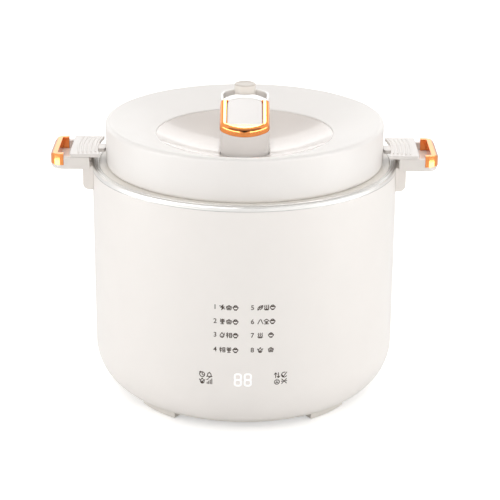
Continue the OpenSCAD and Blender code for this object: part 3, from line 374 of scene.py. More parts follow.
@dataclass(frozen=True)
class GroovedMetal(PlatedMetal):
    """Plated ring with fine grooves in its top and painted shade along its lower edge, where it
    meets the shell.

    Attributes:
        grooves: The grooves' radii.
        groove_width: How wide each one is.
        groove_tone: A groove's level, as a share of the colour's.
        groove_share: How much of that tone shows in the middle of a groove.
        edge_level: Where the painted shade along the lower edge starts.
        edge_height: How high the painted shade reaches.
        edge_tone: The painted shade's level, as a share of the colour's.
        edge_share: How much of that tone shows at the very edge.
    """

    grooves: tuple[float, ...] = (115.4, 117.3, 118.9)
    groove_width: float = 0.5
    groove_tone: float = 0.72
    groove_share: float = 0.8
    edge_level: float = 186.0
    edge_height: float = 0.55
    edge_tone: float = 0.5
    edge_share: float = 0.9

    def shade(self, graph: Surface) -> None:
        """Darken the grooves, and paint shade along the lower edge.

        Args:
            graph: The material's nodes.
        """
        super().shade(graph)
        flat = graph.add("VectorMath", {"operation": "MULTIPLY"}, graph.place, (1, 1, 0))
        reach = graph.add("VectorMath", {"operation": "LENGTH"}, flat.outputs[0])
        dark = linear(darker(self.colour, self.groove_tone))
        half_width = self.groove_width / 2 * MM
        for radius in self.grooves:
            settings = {"operation": "SUBTRACT"}
            away = graph.add("Math", settings, reach.outputs["Value"], radius * MM)
            near = graph.add("Math", {"operation": "ABSOLUTE"}, away.outputs[0])
            share = graph.ramp(near.outputs[0], 0.0, half_width, (self.groove_share, 0))
            graph.lay_over(share, dark)
        # Painted shade: a dark band along the ring's lower edge, in the gap where it meets the
        # shell.
        low, high = self.edge_level * MM, (self.edge_level + self.edge_height) * MM
        share = graph.ramp(graph.height(), low, high, (self.edge_share, 0))
        graph.lay_over(share, linear(darker(self.colour, self.edge_tone)))


@dataclass(frozen=True)
class DrawnSteel(Metal):
    """Sheet steel or aluminium with marks that run round the part or along it."""

    variation: float = 0.08
    patch: float = 14.0
    depth: float = 0.012
    lines: Point3 = (1, 1, 14)
    anisotropy: float = 0.3


@dataclass(frozen=True)
class TurnedMetal(Metal):
    """Metal turned on a lathe: fine rings round the upright axis."""

    variation: float = 0.07
    patch: float = 18.0
    depth: float = 0.01
    anisotropy: float = 0.25
    pitch: float = 0.8
    waver: float = 0.4

    def pattern(self, graph: Surface) -> Socket:
        """Add the rings.

        Args:
            graph: The material's nodes.

        Returns:
            The pattern's value.
        """
        settings = {"wave_type": "RINGS", "rings_direction": "Z"}
        scale = 1 / (self.pitch * MM * WAVES_PER_UNIT)
        sockets = {"Vector": graph.place, "Scale": scale, "Distortion": self.waver}
        return graph.add("TexWave", settings, **sockets).outputs[1]


@dataclass(frozen=True)
class SoftRubber(Finish):
    """Silicone or rubber with a dusty, finely pitted skin."""

    ior: float = 1.42
    pits: float = 0.5
    sheen: float = 0.2
    through: float = 0.0
    through_reach: float = 2.0

    def shade(self, graph: Surface) -> None:
        """Add a pitted surface with a soft sheen.

        Args:
            graph: The material's nodes.
        """
        self.tint(graph)
        graph.set(IOR=self.ior, Sheen_Weight=self.sheen)
        graph.set(Subsurface_Weight=self.through, Subsurface_Scale=self.through_reach * MM)
        self.emboss(graph, graph.noise(self.pits, 4))


@dataclass(frozen=True)
class StoneCoating(Finish):
    """Non-stick coating with pale speckles, in clusters, on a dark ground."""

    patch: float = 14.0
    depth: float = 0.02
    strength: float = 0.6
    ground_tone: float = 0.86
    speckle: Colour = (150, 146, 140)
    spot: float = 1.6
    spot_edges: Point2 = (0.16, 0.26)
    cluster: float = 2.4
    cluster_edges: Point2 = (0.52, 0.6)
    pits: float = 0.7
    gloss: float = 0.3
    gloss_roughness: float = 0.2

    def shade(self, graph: Surface) -> None:
        """Scatter small pale spots over the ground colour.

        Args:
            graph: The material's nodes.
        """
        cells = graph.add("TexVoronoi", Vector=graph.place, Scale=1 / (self.spot * MM))
        spots = graph.ramp(cells.outputs["Distance"], *self.spot_edges, (1, 0))
        clusters = graph.ramp(graph.noise(self.cluster, 1), *self.cluster_edges)
        share = graph.add("Math", {"operation": "MULTIPLY"}, spots, clusters).outputs[0]
        tones = linear(self.colour), linear(darker(self.colour, self.ground_tone))
        ground = graph.blend(graph.noise(self.patch), *tones)
        graph.set(Base_Color=graph.blend(share, ground, linear(self.speckle)))
        graph.set(Roughness=self.roughness, IOR=PLASTIC_IOR)
        graph.set(Coat_Weight=self.gloss, Coat_Roughness=self.gloss_roughness)
        self.emboss(graph, graph.noise(self.pits, 3))


@dataclass(frozen=True)
class CircuitBoard(Finish):
    """Laminate with copper tracks under a coloured mask."""

    strength: float = 0.6
    second_tone: float = 0.9
    track: Colour = (74, 120, 84)
    track_width: float = 0.05
    track_shift: float = 0.37
    fineness: float = 160.0
    gloss: float = 0.4
    gloss_roughness: float = 0.1

    def shade(self, graph: Surface) -> None:
        """Draw tracks by a stepped pattern under a glossy mask.

        Args:
            graph: The material's nodes.
        """
        fine, upright = (self.fineness,) * 3, (math.radians(90), 0, 0)
        turned = graph.add("Mapping", Vector=graph.place, Scale=fine, Rotation=upright)
        bricks = graph.add(
            "TexBrick",
            {"offset": self.track_shift},
            Vector=turned.outputs[0],
            Color1=linear(self.colour),
            Color2=linear(darker(self.colour, self.second_tone)),
            Mortar=linear(self.track),
            Mortar_Size=self.track_width,
            Scale=1.0,
        )
        graph.set(Base_Color=bricks.outputs[0], Roughness=self.roughness, IOR=PLASTIC_IOR)
        graph.set(Coat_Weight=self.gloss, Coat_Roughness=self.gloss_roughness)
        self.emboss(graph, bricks.outputs[1])


@dataclass(frozen=True)
class PrintedInk(Finish):
    """Thin screen-printed ink whose cover is a little uneven."""

    variation: float = 0.25
    patch: float = 0.9
    depth: float = 0.006
    strength: float = 0.4
    ior: float = 1.45
    grain: float = 0.25

    def shade(self, graph: Surface) -> None:
        """Add fine patches to matt ink.

        Args:
            graph: The material's nodes.
        """
        self.tint(graph)
        graph.set(IOR=self.ior)
        self.emboss(graph, graph.noise(self.grain, 2))


@dataclass(frozen=True)
class LitSegment(Finish):
    """Digit segment that shines white through the wall."""

    variation: float = 0.03
    patch: float = 2.0
    power: float = 0.22
    dip: float = 0.96
    dip_width: float = 1.5

    def shade(self, graph: Surface) -> None:
        """Add a light that is a little uneven along the segment.

        Args:
            graph: The material's nodes.
        """
        self.tint(graph)
        tones = linear(self.colour), linear(self.colour, self.dip)
        graph.set(Emission_Color=graph.blend(graph.noise(self.dip_width), *tones))
        graph.set(Emission_Strength=self.power)


SHELL = MouldedPlastic("shell ivory", (242, 237, 232), 0.42, gloss=0.3, gloss_roughness=0.22)
LID = MouldedPlastic("lid ivory", (241, 237, 233), 0.44, gloss=0.16, gloss_roughness=0.2)
DISH = MouldedPlastic("dish ivory", (219, 210, 203), 0.22, gloss=1.0, gloss_roughness=0.06)
# The collar's ivory is set paler than the shell's to make up for the shade in the gap between lid
# and rim: painted light over its own ivory.
COLLAR = MouldedPlastic("collar ivory", (250, 246, 239), 0.4)
BASE = MouldedPlastic("base ivory", (232, 227, 220), 0.48, gloss=0.1)
KNOB = MouldedPlastic("knob ivory", (251, 248, 245), 0.32, gloss=0.5, gloss_roughness=0.12)
PAD = MouldedPlastic("pad ivory", (250, 246, 243), 0.5, gloss=0.08, gloss_roughness=0.3)
PLINTH = MouldedPlastic("plinth ivory", (251, 248, 244), 0.4)
VALVE = TwoTonePlastic("valve beige", (246, 239, 230), 0.38, gloss=0.2)
HANDLE = MouldedPlastic("handle ivory", (229, 223, 217), 0.44, gloss=0.2, gloss_roughness=0.2)
LATCH = MouldedPlastic("latch ivory", (227, 221, 216), 0.36, gloss=0.35, gloss_roughness=0.14)
FRAME_PLASTIC = MouldedPlastic("frame ivory", (228, 223, 214), 0.5, gloss=0.05)
HOLDER = MouldedPlastic("holder ivory", (224, 219, 210), 0.5, gloss=0.05)
INLET = MouldedPlastic("inlet black", (34, 33, 33), 0.5, gloss=0.1)
MODULE = MouldedPlastic("module black", (28, 28, 30), 0.42, gloss=0.2)
ROSE_GOLD = PlatedMetal("rose gold", (250, 158, 92), 0.08)
RIM_METAL = GroovedMetal("rim silver", (226, 224, 221), 0.4, depth=0.004)
STEEL = DrawnSteel("screw steel", (190, 190, 192), 0.32)
BRACKET = DrawnSteel("bracket steel", (184, 185, 187), 0.36, lines=(14, 1, 1))
LINER = DrawnSteel("liner steel", (196, 196, 197), 0.3)
TUBE = PlatedMetal("tube steel", (150, 148, 145), 0.35)
SPRING = PlatedMetal("spring steel", (170, 170, 172), 0.25)
LEVER = DrawnSteel("lever steel", (188, 188, 190), 0.3, lines=(1, 12, 1))
BRASS = PlatedMetal("pin brass", (214, 182, 108), 0.24)
PLATE = TurnedMetal("plate aluminium", (202, 203, 205), 0.36)
SENSOR = TurnedMetal("sensor aluminium", (208, 209, 211), 0.3, pitch=0.5)
INNER = TurnedMetal("inner steel", (204, 204, 206), 0.24, pitch=0.6)
FOOT = SoftRubber("foot rubber", (234, 229, 220), 0.7)
SEAL = SoftRubber("seal silicone", (226, 224, 218), 0.45, through=0.15)
POT = StoneCoating("pot coating", (62, 60, 58), 0.42)
BOARD = CircuitBoard("board green", (30, 86, 58), 0.4)
CERAMIC = MouldedPlastic("fuse ceramic", (226, 222, 212), 0.6, gloss=0.0)
INK = PrintedInk("print ink", (66, 51, 39), 0.55)
LIT = LitSegment("lit segment", (255, 255, 255), 0.3)


class Body(Enum):
    """The moving bodies that a piece can ride on."""

    HOUSING = "housing"
    LATCH_RIGHT = "latch_right"
    LATCH_LEFT = "latch_left"
    LID = "lid"
    PAD = "pad"
    VALVE = "valve"
    SENSOR = "sensor"


# ---------------------------------------------------------------- drawing tools


class Plane(Enum):
    """The planes that an outline is drawn in, as its two directions."""

    PLAN = (Vector((1, 0, 0)), Vector((0, 1, 0)))
    SECTION = (Vector((1, 0, 0)), Vector((0, 0, 1)))


class Outline:
    """A pen that draws an outline as straight runs and arcs, in millimetres."""

    def __init__(self, start: Point2, plane: Plane = Plane.SECTION) -> None:
        """Put the pen down at a point of a plane.

        Args:
            start: The point.
            plane: The plane.
        """
        self.mesh = bmesh.new()
        self.across, self.up = plane.value
        self.first = self.mesh.verts.new(self._spot(start))
        self.last = self.first

    def _spot(self, point: Point2) -> Vector:
        """The place in space of a point of the plane."""
        return self.across * point[0] + self.up * point[1]

    def line(self, *points: Point2) -> Outline:
        """Draw straight runs through the points.

        Args:
            *points: Where the runs end, in their order.

        Returns:
            The outline itself.
        """
        for point in points:
            spot = self.mesh.verts.new(self._spot(point))
            self.mesh.edges.new((self.last, spot))
            self.last = spot
        return self

    def arc(self, centre: Point2, degrees: float, steps: int = 12) -> Outline:
        """Draw an arc from where the pen is.

        Args:
            centre: The arc's centre.
            degrees: Its angle, counter-clockwise in the plane.
            steps: How many edges it has.

        Returns:
            The outline itself.
        """
        made = bmesh.ops.spin(
            self.mesh,
            geom=[self.last],
            cent=self._spot(centre),
            axis=self.across.cross(self.up),
            angle=math.radians(degrees),
            steps=steps,
            use_duplicate=False,
        )
        self.last = only(bmesh.types.BMVert, made["geom_last"])[0]
        return self

    def close(self) -> Outline:
        """Join the pen's place to where it started.

        Returns:
            The outline itself.
        """
        if (self.last.co - self.first.co).length > SAME_POINT:
            self.mesh.edges.new((self.last, self.first))
        bmesh.ops.remove_doubles(self.mesh, verts=self.mesh.verts[:], dist=SAME_POINT)
        return self

    def lathe(self, steps: int = 192) -> Mesh:
        """Turn the outline round the upright axis.

        Args:
            steps: How many faces go round.

        Returns:
            The turned shape.
        """
        bmesh.ops.spin(
            self.mesh,
            geom=self.mesh.verts[:] + self.mesh.edges[:],
            cent=(0, 0, 0),
            axis=(0, 0, 1),
            angle=math.radians(TURN),
            steps=steps,
            use_merge=True,
            use_duplicate=False,
        )
        return tidy(self.mesh)

    def push(self, reach: Sequence[float]) -> Mesh:
        """Fill the outline and draw it out to a solid.

        Args:
            reach: How far and which way.

        Returns:
            The solid.
        """
        face = bmesh.ops.contextual_create(self.mesh, geom=self.mesh.edges[:])["faces"]
        made = bmesh.ops.extrude_face_region(self.mesh, geom=face)
        verts = only(bmesh.types.BMVert, made["geom"])
        bmesh.ops.translate(self.mesh, verts=verts, vec=reach)
        return tidy(self.mesh)


def only(kind: type, items: Iterable[object]) -> list[object]:
    """Pick the items of one kind out of what an operator returns."""
    return [item for item in items if isinstance(item, kind)]


def tidy(mesh: Mesh) -> Mesh:
    """Merge a mesh's doubles and turn its faces outwards.

    Args:
        mesh: The mesh.

    Returns:
        The same mesh.
    """
    bmesh.ops.remove_doubles(mesh, verts=mesh.verts[:], dist=SAME_POINT)
    bmesh.ops.recalc_face_normals(mesh, faces=mesh.faces[:])
    return mesh


def join_flat_faces(mesh: Mesh, degrees: float) -> Mesh:
    """Join the faces that lie within an angle of each other.

    Args:
        mesh: The mesh.
        degrees: The angle.

    Returns:
        The same mesh.
    """
    bmesh.ops.dissolve_limit(
        mesh,
        angle_limit=math.radians(degrees),
        verts=mesh.verts[:],
        edges=mesh.edges[:],
        delimit=set(),
    )
    return mesh


def copy_of(node: str) -> Mesh:
    """A merged copy of a CAD node's mesh, in millimetres, with its flat faces joined.

    Args:
        node: The node's name.

    Returns:
        The copy.
    """
    same_corner, flat = 1e-3, 0.4
    mesh = bmesh.new()
    mesh.from_mesh(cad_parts[node].data)
    bmesh.ops.scale(mesh, vec=(1 / MM,) * 3, verts=mesh.verts[:])
    bmesh.ops.remove_doubles(mesh, verts=mesh.verts[:], dist=same_corner)
    return join_flat_faces(mesh, flat)


def round_edges(
    mesh: Mesh,
    width: float,
    segments: int = 3,
    angle: float = 35.0,
    where: Callable[[Vector], bool] | None = None,
    clamp: bool = True,
) -> Mesh:
    """Round a mesh's sharp edges.

    Args:
        mesh: The mesh.
        width: Radius of the rounding in millimetres.
        segments: How many faces go across it.
        angle: How sharp an edge is to be rounded, in degrees.
        where: Tells whether the edge whose middle is given is rounded.
        clamp: Whether the rounding gives way where the edges are close together.

    Returns:
        The mesh.
    """
    sharp = [
        edge
        for edge in mesh.edges
        if len(edge.link_faces) == 2
        and edge.calc_face_angle(0) > math.radians(angle)
        and (where is None or where((edge.verts[0].co + edge.verts[1].co) / 2))
    ]
    bmesh.ops.bevel(
        mesh,
        geom=sharp,
        offset=width,
        offset_type="OFFSET",
        segments=segments,
        profile=0.5,
        affect="EDGES",
        clamp_overlap=clamp,
        material=-1,
    )
    return tidy(mesh)


def moved(mesh: Mesh, by: Sequence[float]) -> Mesh:
    """Shift a mesh."""
    bmesh.ops.translate(mesh, verts=mesh.verts[:], vec=Vector(by))
    return mesh


def cut(mesh: Mesh, place: Sequence[float], normal: Sequence[float]) -> Mesh:
    """Cut a solid by a plane and close it.

    Args:
        mesh: The solid.
        place: A point of the plane.
        normal: The side of the plane that is taken away.

    Returns:
        The solid.
    """
    made = bmesh.ops.bisect_plane(
        mesh,
        geom=mesh.verts[:] + mesh.edges[:] + mesh.faces[:],
        plane_co=place,
        plane_no=normal,
        clear_outer=True,
    )
    bmesh.ops.holes_fill(mesh, edges=only(bmesh.types.BMEdge, made["geom_cut"]), sides=0)
    return tidy(mesh)


def join_meshes(*meshes: Mesh) -> Mesh:
    """Put several meshes into the first one; the others are freed.

    Args:
        *meshes: The meshes, two or more.

    Returns:
        The first one.
    """
    whole = meshes[0]
    for mesh in meshes[1:]:
        data = bpy.data.meshes.new("joined")
        mesh.to_mesh(data)
        mesh.free()
        whole.from_mesh(data)
        bpy.data.meshes.remove(data)
    return whole


def placed(name: str, data: bpy.types.ID) -> bpy.types.Object:
    """Put a mesh, text, lamp or camera into the scene as an object of that name.

    Args:
        name: The object's name.
        data: What it shows.

    Returns:
        The object.
    """
    thing = bpy.data.objects.new(name, data)
    bpy.context.scene.collection.objects.link(thing)
    return thing


def loose_object(mesh: Mesh, name: str) -> bpy.types.Object:
    """Put a mesh into the scene as an object, as it is.

    Args:
        mesh: The mesh, which is freed.
        name: The object's name.

    Returns:
        The object.
    """
    data = bpy.data.meshes.new(name)
    mesh.to_mesh(data)
    mesh.free()
    return placed(name, data)


def baked(thing: bpy.types.Object) -> Mesh:
    """Apply an object's modifiers and take the object away.

    Args:
        thing: The object.

    Returns:
        Its finished mesh.
    """
    bpy.context.view_layer.update()
    graph = bpy.context.evaluated_depsgraph_get()
    made = bpy.data.meshes.new_from_object(thing.evaluated_get(graph))
    mesh = bmesh.new()
    mesh.from_mesh(made)
    bpy.data.meshes.remove(made)
    discard(thing)
    return mesh


def discard(thing: bpy.types.Object) -> None:
    """Take an object and its own mesh or text away.

    Args:
        thing: The object.
    """
    data = thing.data
    bpy.data.objects.remove(thing)
    is_mesh = isinstance(data, bpy.types.Mesh)
    (bpy.data.meshes if is_mesh else bpy.data.curves).remove(data)


def combine(first: Mesh, second: Mesh, way: str) -> Mesh:
    """Join two solids, or take the second from the first.

    Args:
        first: The first solid.
        second: The second solid.
        way: UNION, DIFFERENCE or INTERSECT.

    Returns:
        The result.
    """
    kept, tool = loose_object(first, "kept"), loose_object(second, "tool")
    step = kept.modifiers.new("combine", "BOOLEAN")
    step.operation, step.solver, step.object = way, "EXACT", tool
    mesh = baked(kept)
    discard(tool)
    return mesh


def finished(
    mesh: Mesh,
    name: str,
    finish: Finish,
    body: Body,
    replaces: Iterable[str] = (),
    smooth: float = 35.0,
    across: Body | None = None,
) -> bpy.types.Object:
    """Make a mesh in millimetres the finished piece of that name.

    Args:
        mesh: The mesh, which is freed.
        name: The piece's name.
        finish: What it is made of.
        body: The body it rides on.
        replaces: The CAD nodes that it stands for.
        smooth: The angle in degrees past which an edge stays sharp.
        across: The body that carries its upper end; when one is given, the piece is baked where it
            stands instead of riding on a body.

    Returns:
        The piece.
    """
    bmesh.ops.scale(mesh, vec=(MM,) * 3, verts=mesh.verts[:])
    thing = loose_object(mesh, name)
    thing.data.shade_smooth()
    thing.data.set_sharp_from_angle(angle=math.radians(smooth))
    weighted = thing.modifiers.new("flat faces stay flat", "WEIGHTED_NORMAL")
    weighted.keep_sharp = True
    thing.data.materials.append(finish.material())
    if across:
        (left, front, bottom), (_, _, top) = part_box(next(iter(replaces)))
        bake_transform(thing)
    else:
        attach(thing, body.value)
    if replaces:
        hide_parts(*replaces)
    LOG.info("%s: %d faces, rides on %s", name, len(thing.data.polygons), body.value)
    return thing


def dress(finish: Finish, *nodes: str) -> None:
    """Give CAD nodes that are kept as they are a finish.

    Args:
        finish: What they are made of.
        *nodes: Their names.
    """
    for name in nodes:
        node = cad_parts[name]
        if not node.material_slots:
            node.data.materials.append(finish.material())
        for place in node.material_slots:
            place.material = finish.material()
        LOG.info("%s: CAD solid in %s", name, finish.name)


def build_spring(node: str, name: str, lower: Body, upper: Body) -> None:
    """Build a spring from its CAD node, between the bodies that carry its two ends."""
    finished(copy_of(node), name, SPRING, lower, [node], across=upper)


# ---------------------------------------------------------------- sub-assemblies


@dataclass
class Shell:
    """The housing: walls, base, rim, seat, liner and what is fixed inside."""

    def build(self) -> None:
        """Dress the housing's solids and build the sensor's spring."""
        self.dress_outside()
        self.dress_inside()
        build_spring("sensor_spring", "sensor_coil", Body.HOUSING, Body.SENSOR)

    def dress_outside(self) -> None:
        """Dress what shows from outside."""
        dress(SHELL, "outer_shell")
        dress(BASE, "base_cover")
        dress(RIM_METAL, "rim_ring")
        dress(COLLAR, "collar")
        dress(FOOT, "feet")
        dress(STEEL, "base_screws", "handle_screws")
        dress(INLET, "power_inlet")
        dress(BRASS, "inlet_pins")

    def dress_inside(self) -> None:
        """Dress what shows once the lid and the pot are out, and what is under the liner."""
        dress(LINER, "liner")
        dress(PLATE, "heating_plate")
        dress(TUBE, "heating_tube")
        dress(BRACKET, "sensor_bracket", "liner_posts")
        dress(SENSOR, "sensor_cap", "sensor_clip")
        dress(CERAMIC, "thermal_fuse")
        dress(BOARD, "power_board", "display_board")
        dress(MODULE, "board_parts", "display_module", "touch_pads")
        dress(HOLDER, "display_holder")
        dress(POT, "inner_pot")


@dataclass
class Side:
    """One handle with its metal end, its latch and its bolt."""

    right: bool
    handle_round: float = 0.9
    cap_round: float = 0.8
    plate_round: float = 0.45

    def build(self) -> None:
        """Round the edges of the handle, its end and the latch's plate, and dress them."""
        word = "right" if self.right else "left"
        still = Body.HOUSING
        latch = Body.LATCH_RIGHT if self.right else Body.LATCH_LEFT
        for node, piece, finish, body, slot, width, segments in (
            ("handle", "grip", HANDLE, still, "handle_ivory", self.handle_round, 3),
            ("end_cap", "metal_end", ROSE_GOLD, still, "rose_gold", self.cap_round, 4),
            ("thumb_plate", "ribbed_plate", LATCH, latch, "latch_ivory", self.plate_round, 3),
        ):
            mesh = round_edges(copy_of(f"{node}_{word}"), width, segments)
            finished(mesh, f"{piece}_{word}", finish, body, [f"{node}_{word}"])
        dress(LATCH, f"bolt_{word}")


@dataclass
class Lid:
    """The lid's cover, its dish and everything under it."""

    dish_edge: float = 69.0
    dish_seat: float = 69.48

    def build(self) -> None:
        """Build the dish and dress the lid's solids."""
        self.build_dish()
        dress(LID, "lid_cover")
        dress(FRAME_PLASTIC, "lid_frame")
        dress(BRACKET, "lid_keepers")
        dress(INNER, "inner_plate", "steam_filter", "steam_pipe")
        dress(SEAL, "seal_ring", "plate_grommet", "float_gasket")
        dress(STEEL, "lid_screws", "lever_pin", "pad_clip")

    def build_dish(self) -> None:
        """Press the dish's rim out until it meets the cover."""
        dish = copy_of("dish_panel")
        for vert in dish.verts:
            reach = math.hypot(vert.co.x, vert.co.y)
            if reach > self.dish_edge:
                vert.co.xy *= self.dish_seat / reach
        finished(dish, "lid_dish", DISH, Body.LID, ["dish_panel"])


@dataclass
class Knob:
    """The knob with its band, its pad, its lever and the steam valve.

    Its plan has a bowed front, rounded corners, straight sides and a half-round back. Its top
    slopes up towards the back and ends level, round a well that holds the valve's cap.
    """

    # The case: its plan, its slope and the wall round the well
    half_width: float = 19.2
    front: float = 21.0
    bow: float = 30.0
    corner: float = 6.0
    back: float = 22.0
    rise: float = 0.43897
    level: float = 228.21
    top: float = 236.99
    wall: float = 2.0
    well_round: float = 1.25
    rim_round: float = 0.55
    # The blanks that the band and the pad are cut from
    blank_low: float = 190.0
    blank_height: float = 60.0
    # The band: how far it reaches over the top, its section, its gaps at the end and underneath,
    # and how far in its outer side is looked for
    band_side: float = 5.0
    band_front: float = 2.8
    band_height: float = 5.2
    band_proud: float = 0.5
    band_end: float = 13.0
    band_lean: float = 1.0
    band_gap: Point2 = (0.05, 0.02)
    band_round: float = 2.2
    band_inner_round: float = 0.5
    band_lower_round: float = 0.45
    band_flank: float = 2.2
    band_nose: float = 1.6
    # The pad
    pad_arch: float = 27.0
    pad_back: float = 16.4
    pad_gap: float = 0.3
    pad_height: float = 3.5
    pad_proud: float = 0.1
    pad_round: float = 1.1
    pad_corner: float = 2.6
    # The valve's cap, with its rim as steps inwards and down
    cap_place: float = 30.0
    cap_radius: float = 8.4
    cap_low: float = 226.2
    cap_top: float = 243.58
    cap_round: float = 0.9
    cap_rim: tuple[Point2, ...] = ((1.5, 0.0), (2.1, 0.4), (4.5, 0.65))
    cap_hollow: float = 0.7
    # How near a line an edge's middle lies to be on it: along the top, at a wall, off the slope
    near: float = 0.3
    near_side: float = 0.25
    near_slope: float = 0.1

    def build(self) -> None:
        """Build and dress the knob's pieces."""
        self.build_case()
        self.build_band()
        self.build_pad()
        self.build_cap()
        dress(PLINTH, "knob_plinth")
        dress(LEVER, "release_lever")
        build_spring("pad_spring", "pad_coil", Body.LID, Body.PAD)
        dress(SENSOR, "float_pin")

    def above(self, spot: Vector) -> float:
        """How far a point lies above the knob's sloping top."""
        return spot.z - min(self.level + self.rise * spot.y, self.top)

    def plan(self, grow: float) -> Outline:
        """Draw the knob's plan: bowed front, rounded corners, straight sides and a half-round back.

        Args:
            grow: How much wider it is drawn, all round.

        Returns:
            The closed outline.
        """
        side = self.half_width + grow
        corner_x = self.half_width - self.corner
        bow_y = self.bow - self.front
        reach = self.bow - self.corner
        corner_y = bow_y - math.sqrt(reach**2 - corner_x**2)
        turn = math.degrees(math.atan2(bow_y - corner_y, corner_x))
        pen = Outline((side, self.back), Plane.PLAN)
        pen.arc((0, self.back), 180, 40).line((-side, corner_y))
        pen.arc((-corner_x, corner_y), turn, 10)
        pen.arc((0, bow_y), 180 - 2 * turn, 24)
        pen.arc((corner_x, corner_y), turn, 10)
        return pen.close()

    def pad_plan(self, shrink: float) -> Outline:
        """Draw the pad's plan: straight sides, a bowed front and an arched back.

        Args:
            shrink: How much smaller it is drawn, all round.

        Returns:
            The closed outline.
        """
        side = self.half_width - self.band_side - shrink
        bow_y = self.bow - self.front + self.band_front
        arch_y = self.pad_back - self.pad_arch
        bow, arch = self.bow - shrink, self.pad_arch - shrink
        front_y = bow_y - math.sqrt(bow**2 - side**2)
        back_y = arch_y + math.sqrt(arch**2 - side**2)
        arch_turn = 2 * math.degrees(math.asin(side / arch))
        bow_turn = 2 * math.degrees(math.asin(side / bow))
        pen = Outline((side, back_y), Plane.PLAN)
        pen.arc((0, arch_y), arch_turn, 20).line((-side, front_y)).arc((0, bow_y), bow_turn, 20)
        return pen.close()

    def slope_normal(self) -> Vector:
        """The direction square to the knob's sloping top."""
        return Vector((0, -self.rise, 1)).normalized()

    def trim_to_slope(self, mesh: Mesh, drop: float, keep_below: bool) -> Mesh:
        """Cut a solid along the knob's slope, some way below the sloping top."""
        normal = self.slope_normal()
        return cut(mesh, (0, 0, self.level - drop), normal if keep_below else -normal)

    def blank(self, outline: Outline, spare: float = 0.0) -> Mesh:
        """Draw an upright blank out of a plan, with some to spare at either end."""
        solid = outline.push((0, 0, self.blank_height + 2 * spare))
        return moved(solid, (0, 0, self.blank_low - spare))

    def build_case(self) -> None:
        """Round the edges of the knob's case, most of all round the well at its back."""
        before_middle = 1.0

        def on_wall(across: float, depth: float, radius: float) -> bool:
            """Whether a place, seen from the well's middle, lies on a wall of that radius."""
            return abs(math.hypot(across, depth) - radius) < self.near_side

        def on_well_rim(spot: Vector) -> bool:
            """Whether an edge runs along the inside of the well's rim."""
            at_top = spot.z > self.top - self.near and spot.y > self.back - before_middle
            return at_top and on_wall(spot.x, spot.y - self.back, self.half_width - self.wall)

        def on_outer_rim(spot: Vector) -> bool:
            """Whether an edge runs along the outside of the top, behind the band."""
            at_top = abs(self.above(spot)) < self.near and spot.y > self.band_end + self.near
            return at_top and on_wall(spot.x, max(0.0, spot.y - self.back), self.half_width)

        case = copy_of("knob_body")
        case = round_edges(case, self.well_round, 4, where=on_well_rim, clamp=False)
        case = round_edges(case, self.rim_round, 3, where=on_outer_rim, clamp=False)
        finished(case, "knob_case", KNOB, Body.LID, ["knob_body"])

    def build_band(self) -> None:
        """Build the plated band round the pad's front and sides, with a rounded section."""
        end_gap, seat_gap = self.band_gap
        flat, spare, smooth = 0.5, 30.0, 40.0
        whole = self.blank(self.plan(self.band_proud))
        whole = self.trim_to_slope(whole, -self.band_proud, True)
        whole = self.trim_to_slope(whole, self.band_height - seat_gap, False)
        self.lean_sides(whole)
        whole = cut(whole, (0, self.band_end - end_gap, 0), (0, 1, 0))
        band = combine(whole, self.blank(self.pad_plan(0), spare), "DIFFERENCE")
        band = join_flat_faces(band, flat)

        def outside(spot: Vector) -> bool:
            """Whether a point lies on the band's outer side."""
            front_y = self.band_nose - self.front + spot.x**2 / (2 * self.bow)
            return abs(spot.x) > self.half_width - self.band_flank or spot.y < front_y

        def on_top(spot: Vector) -> bool:
            """Whether an edge of the top lies in front of the band's ends."""
            high = self.above(spot) > self.band_proud - self.near_slope
            return high and spot.y < self.band_end - self.near

        def on_outer_top(spot: Vector) -> bool:
            """Whether an edge is the outer one of the top."""
            return on_top(spot) and outside(spot)

        def on_outer_foot(spot: Vector) -> bool:
            """Whether an edge is the outer one of the foot."""
            return self.above(spot) < self.near - self.band_height and outside(spot)

        band = round_edges(band, self.band_round, 8, where=on_outer_top, clamp=False)
        band = round_edges(band, self.band_inner_round, 3, where=on_top)
        band = round_edges(band, self.band_lower_round, 2, where=on_outer_foot)
        node = ["knob_trim"]
        finished(band, "knob_band", ROSE_GOLD, Body.LID, node, smooth=smooth)

    def lean_sides(self, mesh: Mesh) -> None:
        """Draw the top of an upright solid in, so that its sides lean back a little.

        Args:
            mesh: The solid.
        """
        upright = 0.1
        inwards = {}
        for vert in mesh.verts:
            sides = [face.normal for face in vert.link_faces if abs(face.normal.z) < upright]
            if self.above(vert.co) > 0 and sides:
                inwards[vert] = sum(sides, Vector()).normalized() * self.band_lean
        for vert, step in inwards.items():
            level = self.above(vert.co)
            vert.co -= step
            vert.co.z += level - self.above(vert.co)

    def build_pad(self) -> None:
        """Build the pad that is pressed: flat, with soft corners and edges, over its plunger."""
        near_corner = 0.2

        def on_corner(spot: Vector) -> bool:
            """Whether an edge is one of the upright ones at the corners."""
            return near_corner < -self.above(spot) < self.pad_height - near_corner

        def on_top(spot: Vector) -> bool:
            """Whether an edge runs round the top."""
            return self.above(spot) > self.pad_proud / 2

        plate = self.blank(self.pad_plan(self.pad_gap))
        plate = self.trim_to_slope(plate, -self.pad_proud, True)
        plate = self.trim_to_slope(plate, self.pad_height, False)
        plate = round_edges(plate, self.pad_corner, 6, where=on_corner, clamp=False)
        plate = round_edges(plate, self.pad_round, 5, where=on_top, clamp=False)
        whole = join_meshes(plate, self.trim_to_slope(copy_of("knob_pad"), self.pad_height, True))
        finished(whole, "press_pad", PAD, Body.PAD, ["knob_pad"])

